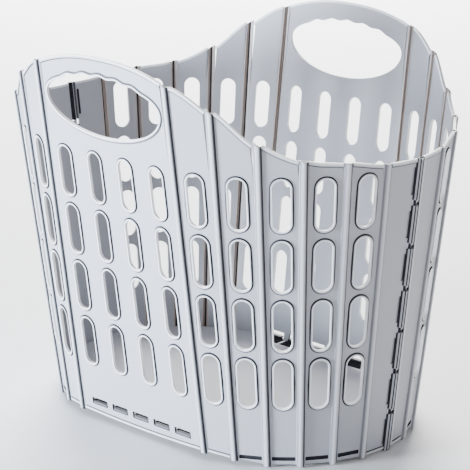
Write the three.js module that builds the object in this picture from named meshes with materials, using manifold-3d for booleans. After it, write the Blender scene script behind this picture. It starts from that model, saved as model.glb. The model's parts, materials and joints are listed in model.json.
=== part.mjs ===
// A collapsible laundry hamper in polypropylene, open and standing on the floor.
// Millimetres, +Z up, origin on the floor under the middle, X from seam to seam, -Y the front wide panel.
// Two alike wall halves stand half a turn apart. Each is a row of flat panels between living hinges, and
// both seams are a rod held in snap curls. Two base flaps turn on tongues in the slots of the wide panels.
import * as THREE from "three";
import { mergeVertices } from "three/addons/utils/BufferGeometryUtils.js";
import Module from "manifold-3d";

const wasm = await Module();
wasm.setup();

// Walls and running gaps
const wall = 2;
const hingeGap = 0.35;
const overrun = 12;

// Plan and heights of one quarter, from the middle of the wide panel to the seam
const widePanelWidth = 169;
const narrowFootWidth = 31.5;
const narrowTopWidth = 40.7;
const seamHeight = 299.5;
const cornerRise = 75;
const crownRise = 14.8;
const rimDropShares = [0, 0.265, 0.648, 0.849, 0.903, 0.98, 1];
const crownPowerShare = 2.3;
const bendDegrees = [17.8, 11.6, 11.2, 13.2, 14.2, 14.9];
const wideFootRise = 5.8;
const footRiseShares = [1, 0.59, 0, 0, 0, 0, 0];
const wideFootBow = 2.4;

// Hinge ribs
const ribRadius = 3.8;
const ribBore = 2.3;
const ribLapDegrees = 15;
const ribSteps = 5;
const ribFootDrop = 2.6;

// Bands along the rim and along the foot
const rimStepsPerPanel = 3;
const crownSteps = 12;
const wideFootSteps = 4;
const rimBandHeight = 3.6;
const rimBandProud = 0.9;
const footBandHeight = 3;
const footBandProud = 0.8;

// Upright slots
const slotRows = 4;
const slotWidth = 16.4;
const slotGap = 9.9;
const firstSlotHeight = 62.6;
const slotTopMargin = 6.5;
const wideSlotColumns = 4;
const wideSlotMargin = 2.9;
const slotBeadWidth = 2.2;
const slotBeadProud = 1.3;
const slotArcSteps = 3;

// Carry handle hole
const handleSideMargin = 10;
const handleCrownMargin = 18.3;
const handleCornerMargin = 29.5;
const handleDrop = 33.5;
const fingerPitch = 21.5;
const fingerDepth = 1.8;
const fingers = 5;
const handleBeadWidth = 2.8;
const handleBeadProud = 1.2;
const stepsPerFinger = 4;
const handleEndShares = [0.8, 0.92, 0.98];
const handleLowerSteps = 8;

// Slots for the base hooks in the wide panel
const hookSlots = 5;
const hookRowMargin = 12;
const hookSlotGap = 7.7;
const hookSlotHeight = 6.8;
const hookAxisHeight = 19.7;

// Foot slots and inner ledges of the narrow panels, left out of the plain ones next to the wide panel
const plainPanels = 1;
const footSlotHeight = 3.5;
const footRailHeight = 6.9;
const footSlotMargin = 4.6;
const ledgeTopHeight = 13.5;
const ledgeThickness = 1.8;
const ledgeDepth = 4;

// Seam hinge
const rodRadius = 1.5;
const curlBore = 3.2;
const curlRadius = 4.4;
const curls = 7;
const curlSteps = 6;
const rodSteps = 8;
const curlNotch = 5.6;
const webHeight = 3.2;
const curlEndDegrees = -60;
const curlStartDegrees = 195;
const rodPlateGap = 1.8;
const seamBeadWidth = 3.4;
const windowHeight = 27;
const windowWidth = 2.4;
const windowGap = 0.6;

// Base flaps
const flapThickness = 2;
const flapTipReach = 120;
const flapLap = 8;
const flapEdgeGap = 1.5;
const tongueProud = 0.6;
const tongueThickness = 2.1;
const tongueDrop = 0.6;
const tongueInset = 3;
const tongueSideGap = 0.5;
const legDepth = 2;
const flapDrop = 1.6;
const flapStackGap = 0.3;
const reliefWidth = 1.6;
const reliefLength = 12;

const wallColour = 0xdfe1ea;
const baseColour = 0xc9cbd0;

const radians = THREE.MathUtils.degToRad;
const widening = (narrowTopWidth - narrowFootWidth) / seamHeight;
const narrowPanels = bendDegrees.length;
const cornerHeight = seamHeight + cornerRise;
const crownHeight = cornerHeight + crownRise;
const slotSpan = seamHeight - slotTopMargin - firstSlotHeight + slotGap;
const slotPitch = slotSpan / slotRows;
const slotHeight = slotPitch - slotGap;
const wideSlotPitch = (widePanelWidth - 2 * wideSlotMargin) / wideSlotColumns;
const handleWidth = widePanelWidth - 2 * handleSideMargin;
const handleMiddleHeight = cornerHeight - handleCornerMargin;
const handleTopHeight = crownHeight - handleCrownMargin;
const hookSlotPitch = (widePanelWidth - 2 * hookRowMargin) / hookSlots;
const hookSlotWidth = hookSlotPitch - hookSlotGap;

// A closed three.js geometry as a solid that can be joined and cut.
function solid(geometry) {
  const bare = geometry.index ? geometry.toNonIndexed() : geometry.clone();
  bare.deleteAttribute("normal");
  bare.deleteAttribute("uv");
  const merged = mergeVertices(bare);
  return new wasm.Manifold(
    new wasm.Mesh({
      numProp: 3,
      vertProperties: new Float32Array(merged.attributes.position.array),
      triVerts: new Uint32Array(merged.index.array),
    }),
  );
}

function geometryOf(body) {
  const mesh = body.getMesh();
  const geometry = new THREE.BufferGeometry();
  geometry.setAttribute("position", new THREE.BufferAttribute(mesh.vertProperties, 3));
  geometry.setIndex(new THREE.BufferAttribute(mesh.triVerts, 1));
  const flat = geometry.toNonIndexed();
  flat.computeVertexNormals();
  return flat;
}

// An outline pushed along +Z from one level to another.
function slab(outline, from, to) {
  const push = new THREE.ExtrudeGeometry(outline, { depth: to - from, bevelEnabled: false });
  return push.translate(0, 0, from);
}

function block(fromX, toX, fromY, toY, fromZ, toZ) {
  const box = new THREE.BoxGeometry(toX - fromX, toY - fromY, toZ - fromZ);
  return box.translate((fromX + toX) / 2, (fromY + toY) / 2, (fromZ + toZ) / 2);
}

// Points along an arc about a place on the Y axis.
function arcPoints(middle, radius, fromDegrees, toDegrees, steps) {
  const points = [];
  for (let step = 0; step <= steps; step += 1) {
    const angle = radians(fromDegrees + ((toDegrees - fromDegrees) * step) / steps);
    points.push(new THREE.Vector2(radius * Math.cos(angle), middle + radius * Math.sin(angle)));
  }
  return points;
}

// Corners of the front right quarter: where each hinge line meets the floor, and its run per unit height.
function hingeLines() {
  const headings = [];
  let heading = 0;
  for (const bend of bendDegrees) {
    heading += radians(bend);
    headings.push(heading);
  }
  const depth = headings.reduce((sum, angle) => sum + narrowFootWidth * Math.sin(angle), 0);
  const spread = headings.reduce((sum, angle) => sum + widening * Math.sin(angle), 0);
  const foot = new THREE.Vector3(widePanelWidth / 2, -depth, 0);
  const lines = [{ foot, run: new THREE.Vector3(0, -spread, 1) }];
  headings.forEach((angle, index) => {
    const along = new THREE.Vector3(Math.cos(angle), Math.sin(angle), 0);
    lines.push({
      foot: lines[index].foot.clone().addScaledVector(along, narrowFootWidth),
      run: lines[index].run.clone().addScaledVector(along, widening),
    });
  });
  return { lines, headings: [0, ...headings] };
}

const { lines: hinges, headings } = hingeLines();

function hingePoint(index, height) {
  return hinges[index].foot.clone().addScaledVector(hinges[index].run, height);
}

// The frame of panel 0 (wide) to 6 (end): x along the foot, y up the panel, z out of the hamper.
function panelFrame(index) {
  const heading = headings[index];
  const along = new THREE.Vector3(Math.cos(heading), Math.sin(heading), 0);
  const outward = new THREE.Vector3(Math.sin(heading), -Math.cos(heading), 0);
  const line = hinges[Math.max(index - 1, 0)];
  const lean = line.run.dot(outward);
  const up = outward.clone().multiplyScalar(lean).add(new THREE.Vector3(0, 0, 1)).normalize();
  const normal = new THREE.Vector3().crossVectors(along, up);
  const origin = index === 0 ? new THREE.Vector3(0, line.foot.y, 0) : line.foot.clone();
  const matrix = new THREE.Matrix4().makeBasis(along, up, normal).setPosition(origin);
  return { matrix, back: matrix.clone().invert(), rise: up.z, normal };
}

const frames = headings.map((_, index) => panelFrame(index));

// A hinge line in a panel's own frame: a point on it and its direction.
function lineInPanel(panel, hinge) {
  const foot = hinges[hinge].foot.clone().applyMatrix4(frames[panel].back);
  const direction = hinges[hinge].run.clone().transformDirection(frames[panel].back);
  return { foot, direction };
}

function acrossAt(line, level) {
  return line.foot.x + (line.direction.x / line.direction.y) * (level - line.foot.y);
}

const rimHeights = rimDropShares.map((share) => cornerHeight - share * (cornerHeight - seamHeight));
const ribFeet = footRiseShares.map((share) => share * wideFootRise);
const plateFeet = ribFeet.map((height) => height + ribFootDrop);
const rimCurve = new THREE.SplineCurve(rimHeights.map((height, index) => new THREE.Vector2(index, height)));

// Height of the rim at a place along the panels: 0 at the wide panel's edge, 6 at the seam.
function rimHeightAt(place) {
  return rimCurve.getPoint(place / narrowPanels).y;
}

function crownHeightAt(share) {
  return crownHeight - (crownHeight - cornerHeight) * Math.abs(share) ** crownPowerShare;
}

// Edge of a side panel in its own frame, from the foot up, along the rim and down again.
function sideOutline(panel, insetNear, insetFar, dropTop = 0, liftFoot = 0) {
  const near = lineInPanel(panel, panel - 1);
  const far = lineInPanel(panel, panel);
  const { rise } = frames[panel];
  const place = (share, height) => {
    const level = height / rise;
    const start = acrossAt(near, level) + insetNear;
    const end = acrossAt(far, level) - insetFar;
    return new THREE.Vector2(start + share * (end - start), level);
  };
  const points = [
    place(0, plateFeet[panel - 1] + liftFoot * rise),
    place(1, plateFeet[panel] + liftFoot * rise),
  ];
  for (let step = rimStepsPerPanel; step >= 0; step -= 1) {
    const share = step / rimStepsPerPanel;
    points.push(place(share, rimHeightAt(panel - 1 + share) - dropTop * rise));
  }
  return points;
}

// Edge of the wide panel, with a foot that bows down between its hinges and a crowned rim.
function wideOutline(inset, dropTop = 0, liftFoot = 0) {
  const { rise } = frames[0];
  const half = widePanelWidth / 2;
  const points = [];
  for (let step = 0; step <= wideFootSteps; step += 1) {
    const share = (2 * step) / wideFootSteps - 1;
    const foot = (plateFeet[0] - wideFootBow * (1 - share ** 2)) / rise + liftFoot;
    points.push(new THREE.Vector2(share * (half - inset), foot));
  }
  for (let step = crownSteps; step >= 0; step -= 1) {
    const share = (2 * step) / crownSteps - 1;
    points.push(new THREE.Vector2(share * (half - inset), crownHeightAt(share) / rise - dropTop));
  }
  return points;
}

// A band between an outline and the same outline drawn in, as a raised strip.
function band(whole, inner, proud) {
  const outer = solid(slab(new THREE.Shape(whole), -wall / 2, wall / 2 + proud));
  return outer.subtract(solid(slab(new THREE.Shape(inner), -overrun, overrun)));
}

// An upright slot's outline, drawn out by a margin.
function slotOutline(margin) {
  const radius = slotWidth / 2 + margin;
  const straight = slotHeight / 2 - slotWidth / 2;
  const upper = arcPoints(straight, radius, 0, 180, slotArcSteps);
  const lower = arcPoints(-straight, radius, 180, 360, slotArcSteps);
  return new THREE.Shape([...upper, ...lower]);
}

// A slot's raised rim, as a plug that is bored later.
function slotPlug() {
  return slab(slotOutline(slotBeadWidth), 0, wall / 2 + slotBeadProud);
}

function slotBore() {
  return slab(slotOutline(0), -overrun, overrun);
}

function middleOfRow(row) {
  return firstSlotHeight + slotHeight / 2 + row * slotPitch;
}

// Adds and bores a column of slots along a line given by its place at each level and its lean.
function withSlotColumn(body, rise, centreAt, lean) {
  let result = body;
  for (let row = 0; row < slotRows; row += 1) {
    const level = middleOfRow(row) / rise;
    const move = new THREE.Matrix4().makeRotationZ(-Math.atan(lean)).setPosition(centreAt(level), level, 0);
    const plug = solid(slotPlug().applyMatrix4(move));
    const bore = solid(slotBore().applyMatrix4(move));
    result = result.add(plug).subtract(bore);
  }
  return result;
}

// A section in the plane square to a line, pushed along that line between two heights of the panel.
// In the section x points away from the panel's middle and y out of the hamper.
function alongLine(section, line, from, to, side = 1) {
  const direction = line.direction.clone();
  const outward = new THREE.Vector3(0, 0, 1);
  const away = new THREE.Vector3().crossVectors(direction, outward).multiplyScalar(side);
  const third = new THREE.Vector3().crossVectors(away, outward);
  const level = side > 0 ? to : from;
  const start = line.foot.clone().addScaledVector(direction, (level - line.foot.y) / direction.y);
  const length = (to - from) / direction.y;
  const push = slab(section, 0, length);
  return push.applyMatrix4(new THREE.Matrix4().makeBasis(away, outward, third).setPosition(start));
}

// A ring sector between two radii and two angles, as a section.
function sector(inner, outer, fromDegrees, toDegrees, steps) {
  const outside = arcPoints(0, outer, fromDegrees, toDegrees, steps);
  return new THREE.Shape([...outside, ...arcPoints(0, inner, toDegrees, fromDegrees, steps)]);
}

// The bend between two neighbouring panels, in degrees.
function bendBetween(panel, next) {
  return THREE.MathUtils.radToDeg(frames[panel].normal.angleTo(frames[next].normal));
}

// The half-round rib over a hinge line, carried by the panel nearer the wide one.
function rib(panel, hinge, side = 1) {
  const { rise } = frames[panel];
  const line = lineInPanel(panel, hinge);
  if (side < 0) line.foot.x *= -1;
  if (side < 0) line.direction.x *= -1;
  const end = -bendBetween(hinge, hinge + 1) - ribLapDegrees;
  const section = sector(ribBore, ribRadius, end, 180 + ribLapDegrees, ribSteps);
  const from = (ribFeet[hinge] - ribRadius) / rise;
  return solid(alongLine(section, line, from, rimHeights[hinge] / rise, side));
}

// The level layer between two heights over the floor, in a panel's own frame.
function layer(panel, from, to) {
  const size = crownHeight;
  return solid(block(-size, size, -size, size, from, to).applyMatrix4(frames[panel].back));
}

const plateInset = (ribRadius + ribBore) / 2;
const freeInset = ribRadius + hingeGap;

// Plate of a side panel with its rim and foot bands.
function sidePlate(panel, insetFar) {
  const plate = solid(slab(new THREE.Shape(sideOutline(panel, freeInset, insetFar)), -wall / 2, wall / 2));
  const whole = sideOutline(panel, freeInset, insetFar);
  const wideInner = [freeInset - overrun, insetFar - overrun];
  const belowRim = sideOutline(panel, ...wideInner, rimBandHeight, -overrun);
  const aboveFoot = sideOutline(panel, ...wideInner, -overrun, footBandHeight);
  return plate.add(band(whole, belowRim, rimBandProud)).add(band(whole, aboveFoot, footBandProud));
}

function middleLine(panel) {
  const near = lineInPanel(panel, panel - 1);
  const far = lineInPanel(panel, panel);
  const centreAt = (level) => (acrossAt(near, level) + acrossAt(far, level)) / 2;
  const lean = (near.direction.x / near.direction.y + far.direction.x / far.direction.y) / 2;
  return { centreAt, lean, near, far };
}

// The long slot above the foot rail, and the inner ledge that the base rests on.
function footSlot(panel) {
  const { near, far } = middleLine(panel);
  const { rise } = frames[panel];
  const from = footRailHeight / rise;
  const to = (footRailHeight + footSlotHeight) / rise;
  const start = acrossAt(near, from) + footSlotMargin;
  const end = acrossAt(far, from) - footSlotMargin;
  return solid(block(start, end, from, to, -overrun, overrun));
}

function ledge(panel) {
  const { near, far } = middleLine(panel);
  const { rise } = frames[panel];
  const to = ledgeTopHeight / rise;
  const start = acrossAt(near, to) + footSlotMargin;
  const end = acrossAt(far, to) - footSlotMargin;
  const shelf = block(start, end, to - ledgeThickness, to, -wall / 2 - ledgeDepth, 0);
  return solid(shelf).subtract(layer(panel, ledgeTopHeight, crownHeight));
}

function narrowPanel(panel) {
  const { rise } = frames[panel];
  const { centreAt, lean } = middleLine(panel);
  let body = sidePlate(panel, plateInset).add(rib(panel, panel));
  if (panel > plainPanels) body = body.add(ledge(panel)).subtract(footSlot(panel));
  body = withSlotColumn(body, rise, centreAt, lean);
  return body.subtract(layer(panel, -crownHeight, ribFeet[panel]));
}

// Levels of the notches between the curls, up the end panel.
function notchLevels() {
  const { rise } = frames[narrowPanels];
  const levels = [];
  for (let notch = 1; notch < curls; notch += 1) levels.push((notch * seamHeight) / curls / rise);
  return levels;
}

// End panel whose far edge rolls into curls, with a window behind each one.
function curlPanel() {
  const panel = narrowPanels;
  const { rise } = frames[panel];
  const line = lineInPanel(panel, panel);
  const section = sector(curlBore, curlRadius, curlEndDegrees, curlStartDegrees, curlSteps);
  const top = seamHeight / rise;
  let body = sidePlate(panel, (curlBore + curlRadius) / 2).add(solid(alongLine(section, line, 0, top)));
  for (const level of notchLevels()) {
    const edge = acrossAt(line, level);
    const from = level - curlNotch / 2;
    const to = level + curlNotch / 2;
    body = body.subtract(solid(block(edge - curlRadius, edge + overrun, from, to, -overrun, overrun)));
  }
  for (let curl = 0; curl < curls; curl += 1) {
    const level = ((curl + 1 / 2) * seamHeight) / curls / rise;
    const edge = acrossAt(line, level) - curlRadius - windowGap;
    const from = level - windowHeight / 2;
    const to = level + windowHeight / 2;
    body = body.subtract(solid(block(edge - windowWidth, edge, from, to, -overrun, overrun)));
  }
  return body.subtract(layer(panel, -crownHeight, 0));
}

// End panel whose far edge carries the rod on webs.
function rodPanel() {
  const panel = narrowPanels;
  const { rise } = frames[panel];
  const line = lineInPanel(panel, panel);
  const inset = curlRadius + rodPlateGap;
  const rod = new THREE.Shape(arcPoints(0, rodRadius, 0, 360, rodSteps).slice(1));
  const bead = new THREE.Shape([
    new THREE.Vector2(-inset - seamBeadWidth, -wall / 2),
    new THREE.Vector2(-inset, -wall / 2),
    new THREE.Vector2(-inset, wall / 2 + footBandProud),
    new THREE.Vector2(-inset - seamBeadWidth, wall / 2 + footBandProud),
  ]);
  const top = seamHeight / rise;
  let body = sidePlate(panel, inset);
  body = body.add(solid(alongLine(bead, line, 0, top))).add(solid(alongLine(rod, line, 0, top)));
  for (const level of notchLevels()) {
    const edge = acrossAt(line, level);
    const from = level - webHeight / 2;
    const to = level + webHeight / 2;
    body = body.add(solid(block(edge - inset - wall, edge, from, to, -wall / 2, wall / 2)));
  }
  return body.subtract(layer(panel, -crownHeight, 0));
}

// The hand hole: two half ellipses, with finger waves along the upper one.
function handlePoints(margin) {
  const { rise } = frames[0];
  const half = handleWidth / 2;
  const waveEnd = (fingers * fingerPitch) / 2;
  const points = [];
  const upper = (across) => {
    const round = Math.sqrt(Math.max(1 - (across / half) ** 2, 0));
    const ellipse = round * (handleTopHeight - handleMiddleHeight);
    const wave = Math.abs(across) < waveEnd ? 1 - Math.abs(Math.cos((Math.PI * across) / fingerPitch)) : 1;
    const fade = Math.abs(across) < waveEnd ? 1 : (half - Math.abs(across)) / (half - waveEnd);
    return handleMiddleHeight + ellipse - fingerDepth * wave * fade;
  };
  const lower = (angle) => handleMiddleHeight - Math.sin(angle) * handleDrop;
  const waves = fingers * stepsPerFinger;
  for (let step = 0; step <= waves; step += 1) {
    const across = waveEnd - (2 * waveEnd * step) / waves;
    points.push(new THREE.Vector2(across, upper(across)));
  }
  for (const share of handleEndShares) {
    points.push(new THREE.Vector2(-half * share, upper(-half * share)));
    points.unshift(new THREE.Vector2(half * share, upper(half * share)));
  }
  for (let step = 0; step <= handleLowerSteps; step += 1) {
    const angle = (Math.PI * step) / handleLowerSteps;
    points.push(new THREE.Vector2(-half * Math.cos(angle), lower(angle)));
  }
  const middle = new THREE.Vector2(0, handleMiddleHeight / rise);
  return points.map((point) => {
    const flat = new THREE.Vector2(point.x, point.y / rise);
    const away = flat.clone().sub(middle);
    const slope = new THREE.Vector2(away.x / half ** 2, away.y / handleDrop ** 2);
    return flat.addScaledVector(slope.normalize(), margin);
  });
}

function widePanel() {
  const { rise } = frames[0];
  const whole = wideOutline(plateInset);
  const inset = plateInset - overrun;
  let body = solid(slab(new THREE.Shape(whole), -wall / 2, wall / 2));
  body = body.add(band(whole, wideOutline(inset, rimBandHeight, -overrun), rimBandProud));
  body = body.add(band(whole, wideOutline(inset, -overrun, footBandHeight), footBandProud));
  body = body.add(rib(0, 0)).add(rib(0, 0, -1));
  const lip = new THREE.Shape(handlePoints(handleBeadWidth));
  const hole = new THREE.Shape(handlePoints(0));
  body = body.add(solid(slab(lip, 0, wall / 2 + handleBeadProud)));
  body = body.subtract(solid(slab(hole, -overrun, overrun)));
  for (let column = 0; column < wideSlotColumns; column += 1) {
    const across = (column - (wideSlotColumns - 1) / 2) * wideSlotPitch;
    body = withSlotColumn(body, rise, () => across, 0);
  }
  for (let slot = 0; slot < hookSlots; slot += 1) {
    const across = (slot - (hookSlots - 1) / 2) * hookSlotPitch;
    const level = hookAxisHeight / rise;
    const left = across - hookSlotWidth / 2;
    const low = level - hookSlotHeight / 2;
    const cut = block(left, left + hookSlotWidth, low, low + hookSlotHeight, -overrun, overrun);
    body = body.subtract(solid(cut));
  }
  return body.subtract(layer(0, -crownHeight, ribFeet[0]));
}

// The floor space inside the walls at a height, drawn in by a gap, as a plan outline.
function floorOutline(height, gap) {
  const edges = headings.map((heading, index) => {
    const outward = new THREE.Vector2(Math.sin(heading), -Math.cos(heading));
    const start = hingePoint(Math.max(index - 1, 0), height);
    return { outward, reach: outward.dot(new THREE.Vector2(start.x, start.y)) - gap };
  });
  const corner = (first, second) => {
    const turn = first.outward.cross(second.outward);
    const x = (first.reach * second.outward.y - second.reach * first.outward.y) / turn;
    const y = (second.reach * first.outward.x - first.reach * second.outward.x) / turn;
    return new THREE.Vector2(x, y);
  };
  const quarter = edges.slice(1).map((edge, index) => corner(edges[index], edge));
  const last = edges[edges.length - 1];
  const mirror = { outward: last.outward.clone().multiply(new THREE.Vector2(1, -1)), reach: last.reach };
  quarter.push(corner(last, mirror));
  const flipped = (points, x, y) => points.map((point) => new THREE.Vector2(point.x * x, point.y * y));
  const upper = flipped(quarter.slice(0, -1), 1, -1).reverse();
  const right = [...quarter, ...upper];
  return [...right, ...flipped(right, -1, 1).reverse().slice(1, -1), ...flipped(right.slice(0, 1), -1, 1)];
}

// A base flap in the frame of its hinge axis: y runs into the hamper, z is up, 0 on the axis.
// drop is how far the plate's top lies under the axis, reach how far its free edge lies from it.
function baseFlap(drop, reach) {
  const height = hookAxisHeight - drop;
  const axisDepth = -hingePoint(0, hookAxisHeight).y;
  const plateTop = -drop;
  const plateBottom = plateTop - flapThickness;
  const outline = floorOutline(height - flapThickness, wall / 2 + flapEdgeGap);
  const floor = slab(new THREE.Shape(outline), plateBottom, plateTop).translate(0, axisDepth, 0);
  const wide = hingePoint(narrowPanels, height).x - curlRadius - flapEdgeGap;
  const lean = -hinges[0].run.y;
  const wallFace = wall / 2 / frames[0].rise + (drop + flapThickness) * lean;
  const edge = wallFace + (hookSlotHeight / 2 - tongueInset);
  let body = solid(floor).intersect(solid(block(-wide, wide, edge, reach, plateBottom - overrun, overrun)));
  for (let hook = 0; hook < hookSlots; hook += 1) {
    const middle = (hook - (hookSlots - 1) / 2) * hookSlotPitch;
    const left = middle - hookSlotWidth / 2 + tongueSideGap;
    const right = middle + hookSlotWidth / 2 - tongueSideGap;
    const out = -wall / 2 - tongueProud;
    const tongue = block(left, right, out, tongueInset, -tongueDrop - tongueThickness, -tongueDrop);
    const leg = block(left, right, edge, edge + legDepth, plateBottom, -flapDrop);
    body = body.add(solid(tongue)).add(solid(leg));
  }
  for (const side of [-1, 1]) {
    const middle = side * (((hookSlots - 1) / 2) * hookSlotPitch + hookSlotWidth / 2 + reliefWidth);
    const [left, right] = [middle - reliefWidth / 2, middle + reliefWidth / 2];
    const slit = block(left, right, edge - overrun, edge + reliefLength, plateBottom - overrun, overrun);
    body = body.subtract(solid(slit));
  }
  return body;
}

function meshOf(name, body, material) {
  const mesh = new THREE.Mesh(geometryOf(body), material);
  mesh.name = name;
  return mesh;
}

const wallMaterial = new THREE.MeshStandardMaterial({ color: wallColour, roughness: 0.42, metalness: 0 });
const baseMaterial = new THREE.MeshStandardMaterial({ color: baseColour, roughness: 0.5, metalness: 0 });

const sideBodies = [];
for (let panel = 1; panel < narrowPanels; panel += 1) sideBodies.push(narrowPanel(panel));
const wideBody = widePanel();
const curlBody = curlPanel();
const rodBody = rodPanel();

// A panel's mesh, set in its frame.
function placedPanel(name, body, panel) {
  const mesh = meshOf(name, body, wallMaterial);
  mesh.applyMatrix4(frames[panel].matrix);
  return mesh;
}

// One side of a wall half, from the panel next to the wide one to the end panel.
function wallSide(name, endBody) {
  const side = new THREE.Group();
  sideBodies.forEach((body, index) => side.add(placedPanel(`${name}_panel_${index + 1}`, body, index + 1)));
  side.add(placedPanel(`${name}_end_panel`, endBody, narrowPanels));
  return side;
}

// A wall half as seen from outside: curls on its right end, the rod on its left end.
function wallHalf(name, right, left) {
  const half = new THREE.Group();
  half.add(placedPanel(`${name}_wide_panel`, wideBody, 0));
  half.add(wallSide(`${name}_${right}`, curlBody));
  const mirrored = wallSide(`${name}_${left}`, rodBody);
  mirrored.scale.x = -1;
  half.add(mirrored);
  return half;
}

const hamper = new THREE.Group();
hamper.add(wallHalf("front", "right", "left"));
const backHalf = wallHalf("back", "left", "right");
backHalf.rotation.z = Math.PI;
hamper.add(backHalf);

const longDrop = flapDrop;
const shortDrop = flapDrop + flapThickness + flapStackGap;
const axis = hingePoint(0, hookAxisHeight);
const longReach = -2 * axis.y - flapTipReach + flapLap;
const longFlap = meshOf("base_long_flap", baseFlap(longDrop, longReach), baseMaterial);
longFlap.position.set(0, axis.y, hookAxisHeight);
const shortFlap = meshOf("base_short_flap", baseFlap(shortDrop, flapTipReach), baseMaterial);
shortFlap.position.set(0, -axis.y, hookAxisHeight);
shortFlap.rotation.z = Math.PI;
hamper.add(longFlap, shortFlap);

export default hamper;
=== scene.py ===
import json
import math

import bmesh
import bpy
import numpy as np
from bpy.props import FloatProperty, FloatVectorProperty, IntProperty, PointerProperty
from mathutils import Matrix, Vector


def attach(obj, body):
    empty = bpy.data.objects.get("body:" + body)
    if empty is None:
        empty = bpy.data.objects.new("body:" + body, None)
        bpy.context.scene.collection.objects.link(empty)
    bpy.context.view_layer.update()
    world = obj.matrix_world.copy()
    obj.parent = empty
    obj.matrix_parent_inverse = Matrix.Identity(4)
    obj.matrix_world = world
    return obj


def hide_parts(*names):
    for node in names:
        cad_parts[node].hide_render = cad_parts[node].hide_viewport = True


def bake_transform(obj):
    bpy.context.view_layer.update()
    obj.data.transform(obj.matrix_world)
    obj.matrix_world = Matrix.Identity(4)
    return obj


bl_info = {
    "name": "Folding laundry hamper",
    "version": (1, 0, 0),
    "blender": (4, 5, 0),
    "location": "3D View > Sidebar > Hamper",
    "description": "Walls, living hinges, snap seams and base of a folding laundry hamper",
    "category": "Object",
}

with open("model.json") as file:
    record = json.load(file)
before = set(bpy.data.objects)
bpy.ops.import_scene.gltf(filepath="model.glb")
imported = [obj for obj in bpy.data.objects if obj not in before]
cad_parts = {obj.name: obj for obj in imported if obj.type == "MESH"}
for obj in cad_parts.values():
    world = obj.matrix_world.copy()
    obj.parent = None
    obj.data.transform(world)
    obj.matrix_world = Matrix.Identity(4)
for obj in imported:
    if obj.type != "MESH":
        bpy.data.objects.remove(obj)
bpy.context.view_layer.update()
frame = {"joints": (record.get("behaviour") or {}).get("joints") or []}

HALVES = ("front", "back")
NARROW_PANELS = 5
PLAIN_PANELS = 1

# Patterns of equal steps across the panels: a narrow panel, a slot's side, and a hook slot's cell
ACROSS = 8
SIDE_STEPS = 24
HOOK_STEPS = 6
CROWN_STEPS = 96
NARROW_SHARES = np.linspace(0, 1, ACROSS + 1)

# Lengths of the painted light: the painted shade beside a raised rim, and the fade at the end of
# a painted highlight on a thin edge
CREASE_WIDTH = 0.0009
SOFT_EDGE = 0.0004

# Relief, the painted light of a point: 1 for a painted highlight on a thin edge, 0 on a plate,
# -1 for full painted shade. Below: the painted highlight on a seam strip's top, and the levels
# of painted shade: full, on the bands, on a carry hole's rim, dim and faint
STRIP_HIGHLIGHT = 0.6
SHADE = -1.0
BAND_SHADE = -0.8
HANDLE_SHADE = -0.5
DIM_SHADE = -0.6
FAINT_SHADE = -0.15

# Rounded ends of bars and ribs, as shares of the end's length with the size that the section has
# there
BAR_END = ((0, 0.72), (0.3, 0.9), (1, 1))
RIB_END = ((0, 0.45), (0.35, 0.82), (1, 1))

# A thin dark sheet of painted shade, put where only shade is seen through a small opening: half
# its thickness, its corners, and its lap round the opening
SHADE_SHEET = 0.0002
SHADE_SHEET_CORNER = 0.0001
SHADE_SHEET_LAP = 0.0003

# How deep small pieces are sunk into what carries them, and how near points count as touching
SUNK = 0.0001
TOUCHING = 0.00001

# Distance up a hinge line to a middle point that a hinge strip works out; nothing uses it
BLEND_HEIGHT = 0.15

# How much wider a narrow panel is about halfway up than at the floor: the walls lean outward
WIDENING = 1.2


def length(name, default, description):
    """A size in metres that a user may change."""
    return FloatProperty(
        name=name, default=default, description=description, unit="LENGTH", precision=5)


def tint(name, default, description):
    """A colour that a user may change."""
    return FloatVectorProperty(
        name=name, default=default, description=description, subtype="COLOR", min=0.0, max=1.0)


class HamperWallSizes(bpy.types.PropertyGroup):
    thickness: length("Wall", 0.002, "Thickness of a wall panel")
    rim_band: length("Rim band", 0.0036, "Height of the raised band along the rim")
    rim_proud: length("Rim band height", 0.0009, "How far the rim band stands out")
    foot_band: length("Foot band", 0.003, "Height of the raised band along the foot")
    foot_proud: length("Foot band height", 0.0008, "How far the foot band stands out")
    corner: length("Corner height", 0.3745, "Height of the rim at the edge of a wide panel")
    crown: length("Crown height", 0.3893, "Height of the rim over a carry handle")
    seam: length("Seam height", 0.2995, "Height of the rim at the seams")
    wide_foot: length("Wide foot", 0.0058, "Height of the ribs' feet beside a wide panel")
    foot_bow: length("Foot bow", 0.0024, "How far a wide panel's lower edge bows down")
    crown_power: FloatProperty(
        name="Crown curve", default=2.3, description="Power of the crown's fall to the corner")


class HamperRibSizes(bpy.types.PropertyGroup):
    radius: length("Rib", 0.0038, "Outer radius of a hinge rib")
    bore: length("Groove", 0.0023, "Radius of the groove inside a rib")
    # The groove's dark tone is painted shade
    groove_lap: length("Groove lap", 0.00012, "How far the groove's dark tone runs onto its lips")
    fillet: length("Fillet", 0.0009, "Radius between a rib and its panels")
    # Painted shade down a rib's flanks, of which the left one takes a share, and a painted
    # highlight along its top
    left_shade: FloatProperty(name="Left shade", default=0.35,
                              description="Share of the shade that a rib's left flank has")
    ridge_pale: FloatProperty(name="Pale ridge", default=0.35,
                              description="Share of the pale tone along a rib's top")
    reach: length("Reach", 0.0046, "Distance from the hinge line to the plates")
    foot_drop: length("Foot drop", 0.0026, "How far a rib runs below the edges of its panels")
    dome: length("Rounded end", 0.0012, "Length of a rib's rounded end")


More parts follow.
